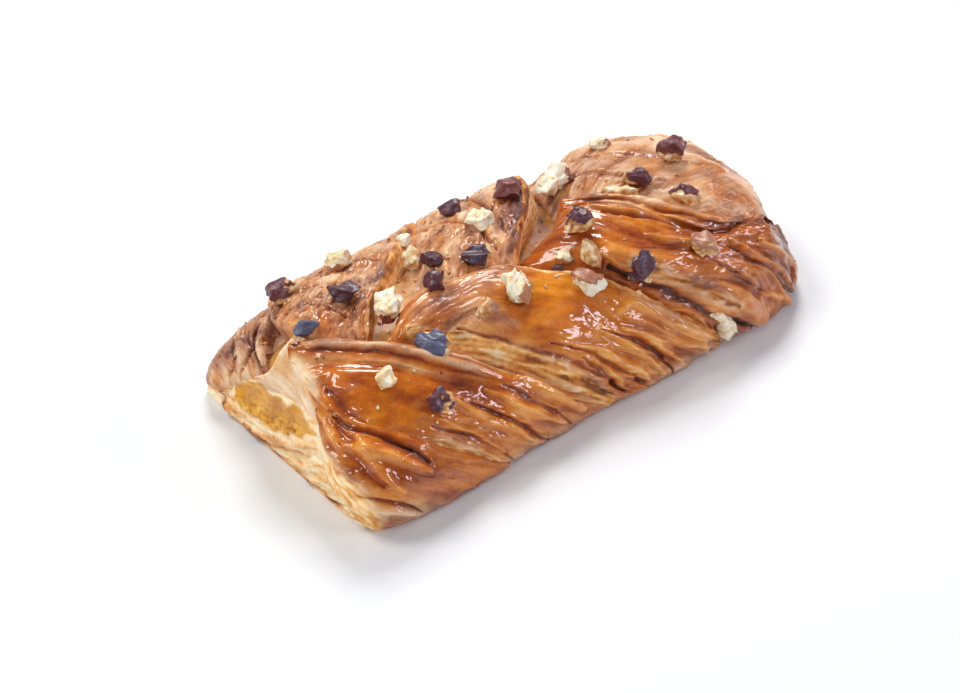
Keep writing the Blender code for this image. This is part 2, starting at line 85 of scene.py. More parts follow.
CLIMB = np.linspace(0.0, math.pi / 2, CURVE_STEPS)
SQUARE_X, SQUARE_Z = oval(CLIMB, SQUARE_END_RIDGE_POWER, HALF_LENGTH, HEIGHT)
ROUND_X, ROUND_Z = oval(CLIMB + math.pi / 2, ROUND_END_RIDGE_POWER, HALF_LENGTH, HEIGHT)
RIDGE_X = np.concatenate([SQUARE_X, ROUND_X[1:]])
RIDGE_Z = np.concatenate([SQUARE_Z, ROUND_Z[1:]])
RIDGE_RUN = run_length(RIDGE_X, RIDGE_Z) - run_length(SQUARE_X, SQUARE_Z)[-1]
SQUARE_FOOT, ROUND_FOOT = RIDGE_RUN[0], RIDGE_RUN[-1]
SECTION_ANGLE = np.linspace(0.0, math.pi, CURVE_STEPS)
GIRTH_RUN = run_length(*oval(SECTION_ANGLE, SECTION_POWER, HALF_WIDTH, HEIGHT))
HALF_GIRTH = GIRTH_RUN[-1] / 2
GIRTH_RUN = GIRTH_RUN - HALF_GIRTH
print("along", round(SQUARE_FOOT, 1), "to", round(ROUND_FOOT, 1), "mm, half girth",
      round(HALF_GIRTH, 1), "mm")


# %% Places on the loaf
def loaf(along, around):
    """The point of the loaf's surface at a length along the ridge and a length round the girth."""
    x = np.interp(along, RIDGE_RUN, RIDGE_X)
    top = np.interp(along, RIDGE_RUN, RIDGE_Z)
    power = np.where(x < 0, SQUARE_END_PLAN_POWER, ROUND_END_PLAN_POWER)
    half_width = HALF_WIDTH * (1 - np.abs(x / HALF_LENGTH).clip(0, 1) ** power) ** (1 / power)
    y, z = oval(np.interp(around, GIRTH_RUN, SECTION_ANGLE), SECTION_POWER, half_width, top)
    return np.stack([x + 0 * y, y, z], axis=-1)


def outward(along, around, reach=0.5):
    """The direction straight out of the loaf's surface."""
    east = loaf(np.minimum(along + reach, ROUND_FOOT), around)
    west = loaf(np.maximum(along - reach, SQUARE_FOOT), around)
    far = loaf(along, np.minimum(around + reach, HALF_GIRTH))
    near = loaf(along, np.maximum(around - reach, -HALF_GIRTH))
    normal = np.cross(east - west, far - near)
    return normal / np.linalg.norm(normal, axis=-1, keepdims=True).clip(1e-9)


SPINE_FROM, SPINE_TO, SPINE_HEIGHT = -50.0, 42.0, 9.0


def towards_spine(point, depth):
    """Points moved into the loaf by a depth, towards a line that runs through its middle."""
    spine = np.zeros_like(point)
    spine[..., 0] = point[..., 0].clip(SPINE_FROM, SPINE_TO)
    spine[..., 2] = SPINE_HEIGHT
    inward = spine - point
    return point + inward * (depth / np.linalg.norm(inward, axis=-1, keepdims=True))


PATH_STEPS = 40


def smooth_path(points, count):
    """Evenly spaced points on a smooth curve through a few places."""
    points = np.array(points, dtype=float)
    slopes = np.gradient(points, axis=0)
    steps = np.linspace(0, len(points) - 1, PATH_STEPS * len(points))
    first = np.minimum(steps.astype(int), len(points) - 2)
    f = (steps - first)[:, None]
    curve = ((2 * f**3 - 3 * f**2 + 1) * points[first] + (f**3 - 2 * f**2 + f) * slopes[first]
             + (3 * f**2 - 2 * f**3) * points[first + 1] + (f**3 - f**2) * slopes[first + 1])
    length = run_length(curve[:, 0], curve[:, 1])
    even = np.linspace(0, length[-1], count)
    return np.stack([np.interp(even, length, curve[:, k]) for k in (0, 1)], axis=-1)


def ease(value, start, end):
    """0 up to start, 1 from end, and a smooth climb between them."""
    share = ((value - start) / (end - start)).clip(0, 1)
    return share * share * (3 - 2 * share)


# %% [markdown]
# ## The tools of an uneven surface
#
# Baked dough is never even, so a few kinds of unevenness come first, all worked out with numpy
# over a whole sheet of points at once. **Noise** makes soft swellings of a chosen size,
# **blisters** makes round bubbles, and **nearness** follows one crease or fold that a baker could
# point at. Seeds are fixed, so each run gives the same braid.

# %% Unevenness
HASH_PRIMES, HASH_MIX = (374761393, 668265263, 974634777), 1274126177
NOISE_GAIN = 1.5
BLISTER_RADIUS, BLISTER_RADIUS_MORE, BLISTER_RISE = 0.3, 0.35, 1.6
PLATE_STEP = 1.4
CREST_SHARPNESS = 2.6
MARK_STEPS, MARK_END_WIDTH = 26, 0.45


def hashed(column, row, seed):
    """A repeatable number from 0 to 1 for each whole place of a grid."""
    n = sum(part * prime for part, prime in zip((column, row, seed), HASH_PRIMES)) & 0xFFFFFFFF
    n = ((n ^ (n >> 13)) * HASH_MIX) & 0xFFFFFFFF
    return ((n ^ (n >> 16)) & 0xFFFFFF) / float(0xFFFFFF)


def grid_places(first, second, size):
    """The whole cell of a grid that each point lies in, and the point counted in cells."""
    x, y = first / size[0], second / size[1]
    return np.floor(x).astype(np.int64), np.floor(y).astype(np.int64), x, y


def noise(first, second, size, seed):
    """Soft swellings from about -1 to 1, each about size = (long, wide) millimetres."""
    column, row, x, y = grid_places(first, second, size)
    x, y = x - column, y - row
    total = 0.0
    for i in (0, 1):
        for j in (0, 1):
            angle = 2 * math.pi * hashed(column + i, row + j, seed)
            slope = np.cos(angle) * (x - i) + np.sin(angle) * (y - j)
            u, v = 1 - np.abs(x - i), 1 - np.abs(y - j)
            total = total + slope * u**3 * (u * (6 * u - 15) + 10) * v**3 * (v * (6 * v - 15) + 10)
    return NOISE_GAIN * total


def folded(first, second, size, seed):
    """Sharp crests with wide valleys, from about -1 up to 1 on the crests."""
    return 1 - CREST_SHARPNESS * np.abs(noise(first, second, size, seed))


def neighbours(first, second, size, seed):
    """The nine cells round each point: the way to a chance spot in each, and the cell itself."""
    column, row, x, y = grid_places(first, second, size)
    for i in (-1, 0, 1):
        for j in (-1, 0, 1):
            cell = (column + i, row + j)
            yield cell[0] + hashed(*cell, seed) - x, cell[1] + hashed(*cell, seed + 1) - y, cell


def blisters(first, second, size, seed, share):
    """Round bubbles of height 1 on about a share of the cells of a grid, 0 between them."""
    height = 0.0
    for across, along, cell in neighbours(first, second, (size, size), seed):
        radius = BLISTER_RADIUS + BLISTER_RADIUS_MORE * hashed(*cell, seed + 2)
        there = hashed(*cell, seed + 3) < share
        dome = (1 - (across**2 + along**2) / radius**2).clip(0, 1)
        height = np.maximum(height, there * dome * (3 - 2 * dome) * dome * radius * BLISTER_RISE)
    return height


def flakes(first, second, size, seed):
    """Thin plates of dough, each at its own height from about -1 to 1 and with its own tilt."""
    nearest, height = np.inf, 0.0
    for across, along, cell in neighbours(first, second, size, seed):
        step, tilt_across, tilt_along = (hashed(*cell, seed + k) - 0.5 for k in (2, 3, 4))
        gap = across**2 + along**2
        level = PLATE_STEP * step + tilt_across * across + tilt_along * along
        height = np.where(gap < nearest, level, height)
        nearest = np.minimum(gap, nearest)
    return height


def hump(value, middle, width):
    """1 at a middle value, fading to 0 over a width on both sides."""
    return np.exp(-((value - middle) / width) ** 2)


def nearness(place, points, width):
    """1 on a line through a few places, fading to 0 over its width, narrower at its ends."""
    line = smooth_path(points, MARK_STEPS)
    near, share = np.inf, 0.0
    for i, (start, end) in enumerate(zip(line, line[1:])):
        way = end - start
        t = (((place - start) @ way) / max(way @ way, 1e-9)).clip(0, 1)
        gap = np.linalg.norm(place - start - t[..., None] * way, axis=-1)
        share = np.where(gap < near, (i + t) / (MARK_STEPS - 1), share)
        near = np.minimum(gap, near)
    taper = MARK_END_WIDTH + (1 - MARK_END_WIDTH) * np.sin(math.pi * share)
    return hump(near, 0.0, width * taper)


def grains(table, first, second, seed=0):
    """A function that adds up unevennesses of a table by their names, over a sheet of points."""
    def grain(*names, kind=noise, first=first, second=second):
        return sum(amount * kind(first, second, (long, wide), seed + own_seed)
                   for long, wide, own_seed, amount in (table[name] for name in names))
    return grain


# %% [markdown]
# ## From a sheet of points to a closed piece
#
# Each piece is a row of closed rings, like the ribs of a boat, with quads between neighbours and a
# fan over each end. It could be a curve with a profile, or a subdivided box, but rings of computed
# points keep the exact form of the plain solid and still carry **masks**: numbers from 0 to 1 at
# each point that tell the material where the dough is browned, glazed or flaky.

# %% Meshes from rings
MASKS = ("bake", "glaze", "layers", "custard", "raised", "streak")


def add_piece(name, points, faces, masks, finish):
    """A smooth mesh object from points in millimetres, with its masks and its finish."""
    mesh = bpy.data.meshes.new(name)
    mesh.from_pydata((points - FINISHED_MIDDLE) * MM, [], faces)
    for mask, values in masks.items():
        layer = mesh.attributes.new(mask, "FLOAT", "POINT")
        layer.data.foreach_set("value", np.asarray(values, np.float32).ravel())
    corners = np.array([face[:3] for face in faces])
    a, b, c = (points[corners[:, k]] for k in range(3))
    if np.einsum("ij,ij->", a, np.cross(b, c)) < 0:
        mesh.flip_normals()
    mesh.shade_smooth()
    mesh.materials.append(finish)
    piece = bpy.data.objects.new(name, mesh)
    bpy.context.scene.collection.objects.link(piece)
    return piece


def loft(name, rings, masks, finish):
    """A closed piece through a row of rings, each end closed by a fan round its middle."""
    count, around = rings.shape[:2]
    here = np.arange((count - 1) * around).reshape(count - 1, around)
    after = np.roll(here, -1, axis=1)
    faces = np.stack([here, here + around, after + around, after], axis=-1).reshape(-1, 4).tolist()
    points = np.concatenate([rings.reshape(-1, 3), [rings[0].mean(axis=0), rings[-1].mean(axis=0)]])
    for hub, start in ((len(points) - 2, 0), (len(points) - 1, (count - 1) * around)):
        faces += [(start + j, start + (j + 1) % around, hub) for j in range(around)]
    ends = {mask: np.concatenate([np.ravel(values), [values[0].mean(), values[-1].mean()]])
            for mask, values in masks.items()}
    return add_piece(name, points, faces, ends, finish)


def sheet_normals(sheet, out):
    """The direction out of each point of a sheet, on the side that out points to."""
    normal = np.cross(np.gradient(sheet, axis=0), np.gradient(sheet, axis=1))
    size = np.linalg.norm(normal, axis=-1, keepdims=True)
    normal = np.where(size > 1e-7, normal / size.clip(1e-7), out)
    return normal * np.sign((normal * out).sum(axis=-1).mean())


# %% [markdown]
# ## The strips of dough
#
# The sheet's two sides were cut into strips and folded over the filling in turn. A strip is known
# by the places of its two edges on the loaf, root first, and by a few sizes: how far it bulges,
# how its cut edge drops and curls, and how its tip dives under the strip that crosses it.

# %% The strips
PLAIN_STRIP = {"low": 0.0, "climb": 0.5, "crown": 0.6, "proud": 0.3, "bevel": 2.0, "drop": 1.5,
               "lip": 0.0, "lip_width": 5.0, "lip_from": 0.5, "dive": 0.0, "dive_length": 12.0}


class Strip:
    """One strip, from its root at the braid's foot to its tip on the ridge."""

    def __init__(self, left, right, root=None, **sizes):
        self.left, self.right, self.root = left, right, root or [left[0], right[0]]
        vars(self).update(PLAIN_STRIP, **sizes)


STRIPS = {
    "near_end": Strip(
        left=[(-71, -47.5), (-74, -38), (-74.5, -26), (-70, -14.5), (-64, -7)],
        right=[(-27, -48), (-43, -36), (-54, -23), (-58, -13), (-59.5, -5)],
        low=2.2, climb=1.0, crown=2.2, proud=0.8, dive=5.4, dive_length=34.0),
    "near_1": Strip(
        left=[(-34, -48), (-49, -34.5), (-58, -26), (-62, -18), (-63.5, -10), (-62.5, -2)],
        right=[(-2, -48), (-8.7, -40.7), (-24.9, -26.3), (-36.5, -16.2), (-48, -6.0), (-57, 4.2)],
        crown=1.0, bevel=3.6, drop=2.4, lip=1.3, lip_width=5.0, lip_from=0.45),
    "near_2": Strip(
        left=[(-12, -48), (-22, -38), (-36, -25), (-47, -13)],
        right=[(39, -48), (26.4, -38.3), (14.2, -26.5), (7, -18.4), (-2, -12.2), (-10.8, -5.6),
               (-21, -3.8), (-33.8, -4.4), (-40.5, -9.5)],
        low=-4.6, climb=0.55, proud=1.0, bevel=2.6, drop=1.8, dive=0.8),
    "near_3": Strip(
        left=[(28, -48), (15, -36), (3, -24), (-5, -13), (-4.2, -5.5), (4, -2.5), (13, 3)],
        right=[(74, -45), (72, -36), (67, -29), (54, -24.5), (41.8, -22.0), (34, -15.5),
               (28, -7), (21, -1.0), (17, 3)],
        low=-3.4, climb=0.4, crown=1.8, proud=2.3, bevel=3.0, drop=1.0,
        lip=1.2, lip_width=5.5, lip_from=0.4, dive=4.0, dive_length=32.0),
    "far_end": Strip(
        left=[(-69, 46.5), (-73, 38), (-74.5, 29), (-72.5, 18), (-69, 10)],
        right=[(-26, 48), (-40, 34), (-50, 24), (-56, 18.5), (-63, 12.5)],
        low=-1.9, climb=1.0, crown=0.3, proud=-2.2, bevel=1.5, drop=1.0, dive=2.0,
        dive_length=20.0),
    "far_1": Strip(
        left=[(-36, 48), (-46, 32), (-54, 18), (-56, 11), (-55, 5), (-56, -3)],
        right=[(8, 48), (-6, 30), (-20.7, 14.5), (-26.8, 9.2), (-33, 4.5), (-38, 0.5), (-43, -5),
               (-48, -10)],
        low=-1.0, climb=0.3, proud=0.0, bevel=1.0, drop=0.6, dive=4.2),
    "far_2": Strip(
        left=[(-8, 48), (-17, 30), (-23, 14), (-26, 6), (-29, -3), (-32, -9)],
        right=[(30, 48), (21, 31), (15.5, 15.9), (9.1, 7.1), (0.7, -0.8), (-4, -6), (-8, -12)],
        low=-4.6, climb=0.5, bevel=0.8, drop=0.5, dive=4.2),
    "far_3": Strip(
        left=[(26, 48), (20, 30), (16.5, 14), (13.5, 4), (14, -5)],
        right=[(66, -44), (66, -36), (56, -30), (44, -27), (34, -19)],
        root=[(26, 48), (56, 47.6), (75, 38), (81.5, 0), (79, -30), (66, -44)],
        low=-4.4, climb=0.22, crown=0.6, proud=-0.4, bevel=4.0, drop=1.4,
        dive=4.4, dive_length=14.0),
    "web": Strip(
        left=[(-70, 13), (-66, 5.5), (-60, 4.4), (-56, 4.6)],
        right=[(-73, -20), (-67, -14), (-60, -2), (-55, 1)],
        crown=0.3, proud=-1.0, bevel=1.0, drop=0.4),
}

# %% A strip's smooth upper face
EDGE_STEPS, EDGE_RADIUS = 60, 1.3
ROOT_RADIUS, ROOT_TUCK = 3.0, 0.8
ROOT_LOW, ROOT_LOW_SHARE = 0.1, 0.5
LIP_START, LIP_DROP_KEPT = 0.1, 0.3
LIP_ROLL_AT, LIP_GROOVE_AT, LIP_WAVE, LIP_GROOVE = 0.45, 1.35, 0.35, 0.8
LUMP_SIZE, LUMP_HEIGHT = 13.0, 0.55


def edge_round(distance, radius):
    """How far a rounded edge drops at a distance in from it."""
    share = (1 - distance / radius).clip(0, 1)
    return radius * (1 - np.sqrt(1 - share**2))


def lip_wave(place):
    """A rolled lip of height 1 up to place 1, and the groove behind it."""
    return hump(place, LIP_ROLL_AT, LIP_WAVE) - LIP_GROOVE * hump(place, LIP_GROOVE_AT, LIP_WAVE)


def lumps(point):
    """Low, uneven swellings, between about -1 and 1."""
    x, y, z = (point[..., k] / LUMP_SIZE for k in range(3))
    return (np.sin(2.1 * x + 1.3 * y + 0.4) * np.cos(1.7 * y - 2.3 * z)
            + 0.6 * np.sin(3.9 * x - 2.9 * z + 2.0) * np.cos(3.1 * y + 1.1 * x))


class Sheet:
    """A strip's upper face as a grid of points, root to tip and left to right."""

    def __init__(self, strip, cell):
        edges = [smooth_path(edge, EDGE_STEPS) for edge in (strip.left, strip.right, strip.root)]
        left_run, right_run, root_run = (run_length(*edge.T)[-1] for edge in edges)
        reach = (left_run + right_run) / 2
        widest = np.linalg.norm(edges[1] - edges[0], axis=-1).max()
        rows, columns = int(reach / cell) + 1, int(max(widest, root_run) / cell) + 1
        left, right = smooth_path(strip.left, rows), smooth_path(strip.right, rows)
        root = smooth_path(strip.root, columns)
        u, v = np.linspace(0, 1, rows)[:, None], np.linspace(0, 1, columns)
        bow = root - (left[0] * (1 - v[:, None]) + right[0] * v[:, None])
        self.place = (left[:, None] * (1 - v[:, None]) + right[:, None] * v[:, None]
                      + bow[None] * (1 - u[..., None]))
        width = np.linalg.norm(right - left, axis=-1)[:, None]
        self.from_root, self.from_right = u * reach + 0 * v, (1 - v) * width
        self.from_left, self.share = v * width, u
        self.skin = loaf(self.place[..., 0], self.place[..., 1])
        self.out = outward(self.place[..., 0], self.place[..., 1])
        low = strip.low * (ROOT_LOW + (1 - ROOT_LOW) * ease(u, 0, ROOT_LOW_SHARE))
        level = low + (strip.proud - low) * ease(v, 0, strip.climb)
        level = level + strip.crown * 4 * v * (1 - v) + LUMP_HEIGHT * lumps(self.skin)
        curled = ease(u, strip.lip_from - LIP_START, strip.lip_from + LIP_START)
        self.curled = curled * ease(width, strip.lip_width, 3 * strip.lip_width)
        drop = strip.drop * (1 - (1 - LIP_DROP_KEPT) * self.curled * (strip.lip > 0))
        level = level - drop * ease(self.from_right, strip.bevel, 0)
        level = level + strip.lip * self.curled * lip_wave(self.from_right / strip.lip_width)
        level = level - edge_round(np.minimum(v, 1 - v) * width, EDGE_RADIUS)
        level = level - ROOT_TUCK * ease(self.from_root, ROOT_RADIUS, 0)
        level = level - strip.dive * ease(reach - self.from_root, strip.dive_length, 0)
        self.top = self.skin + self.out * level[..., None]


# %% [markdown]
# ## Creases, folds and strokes of the brush
#
# Noise alone looks like sand. What makes a photograph of pastry look real is that its folds run
# somewhere: ridges fan out from the middle of a strip to its foot, glaze pools between them, and
# the brush misses an edge. Each of these is one **mark**: a line through a few places on the
# loaf, a width, and what it does there to the height (in mm), the browning, the glaze and the
# bare layers. The browning of a crease is partly painted shade, and the paling of a crest a painted
# sheen.

# %% Marks
FOLD_WIDTH, FOLD_RISE, FOLD_SIDE, FOLD_SIDE_SPREAD = 2.0, 1.3, 0.38, 0.3
SOFT_GROOVE_WIDTH, SOFT_GROOVE_PAINTED_SHADE = 1.3, 0.05
SOFT_RIDGE_WIDTH, SOFT_RIDGE_HEIGHT = 3.4, 0.35


class Mark:
    """A line on the dough, and how much it changes height, browning (in creases partly painted
    shade), glaze and bare layers.
    """

    def __init__(self, points, width, height=0.0, bake=0.0, glaze=0.0, layers=0.0):
        self.points, self.width, self.height = points, width, height
        self.masks = {"bake": bake, "glaze": glaze, "layers": layers}


def ridge(points, width, height):
    """A fold that stands up: its crest sheds the glaze, and is made a little paler as a painted
    sheen.
    """
    return Mark(points, 0.85 * width, 1.3 * height, bake=-0.04, glaze=-0.1)


def groove(points, width, height, bake=0.16):
    """A crease, darkened partly by the syrup that gathers in it and partly as painted shade."""
    return Mark(points, 0.5 * width, -0.85 * height, bake=bake, glaze=0.2)


def soft_ridge(points):
    """A low, broad fold of the dull far side."""
    return ridge(points, SOFT_RIDGE_WIDTH, SOFT_RIDGE_HEIGHT)


def soft_groove(points, height):
    """A crease of the far side, with hardly any syrup in it, darkened a little as painted shade."""
    return groove(points, SOFT_GROOVE_WIDTH, height, SOFT_GROOVE_PAINTED_SHADE)


def stain(points, width, bake, glaze=0.0, layers=0.0):
    """A mark that changes only the colours: browning (in a few creases painted shade), glaze or
    bare layers.
    """
    return Mark(points, width, 0.0, bake, glaze, layers)


def profile(mark, near):
    """A mark's height: a narrow fold also pushes the dough beside it the other way."""
    if mark.width > FOLD_WIDTH:
        return mark.height * near
    return mark.height * (FOLD_RISE * near - FOLD_SIDE * near**FOLD_SIDE_SPREAD)


def draw_marks(marks, place, masks):
    """Draws marks into the masks of a sheet, and gives the height that they add."""
    height = np.zeros(place.shape[:-1])
    for mark in marks:
        near = nearness(place, mark.points, mark.width)
        height += profile(mark, near)
        for mask, change in mark.masks.items():
            masks[mask] += change * near
    return height


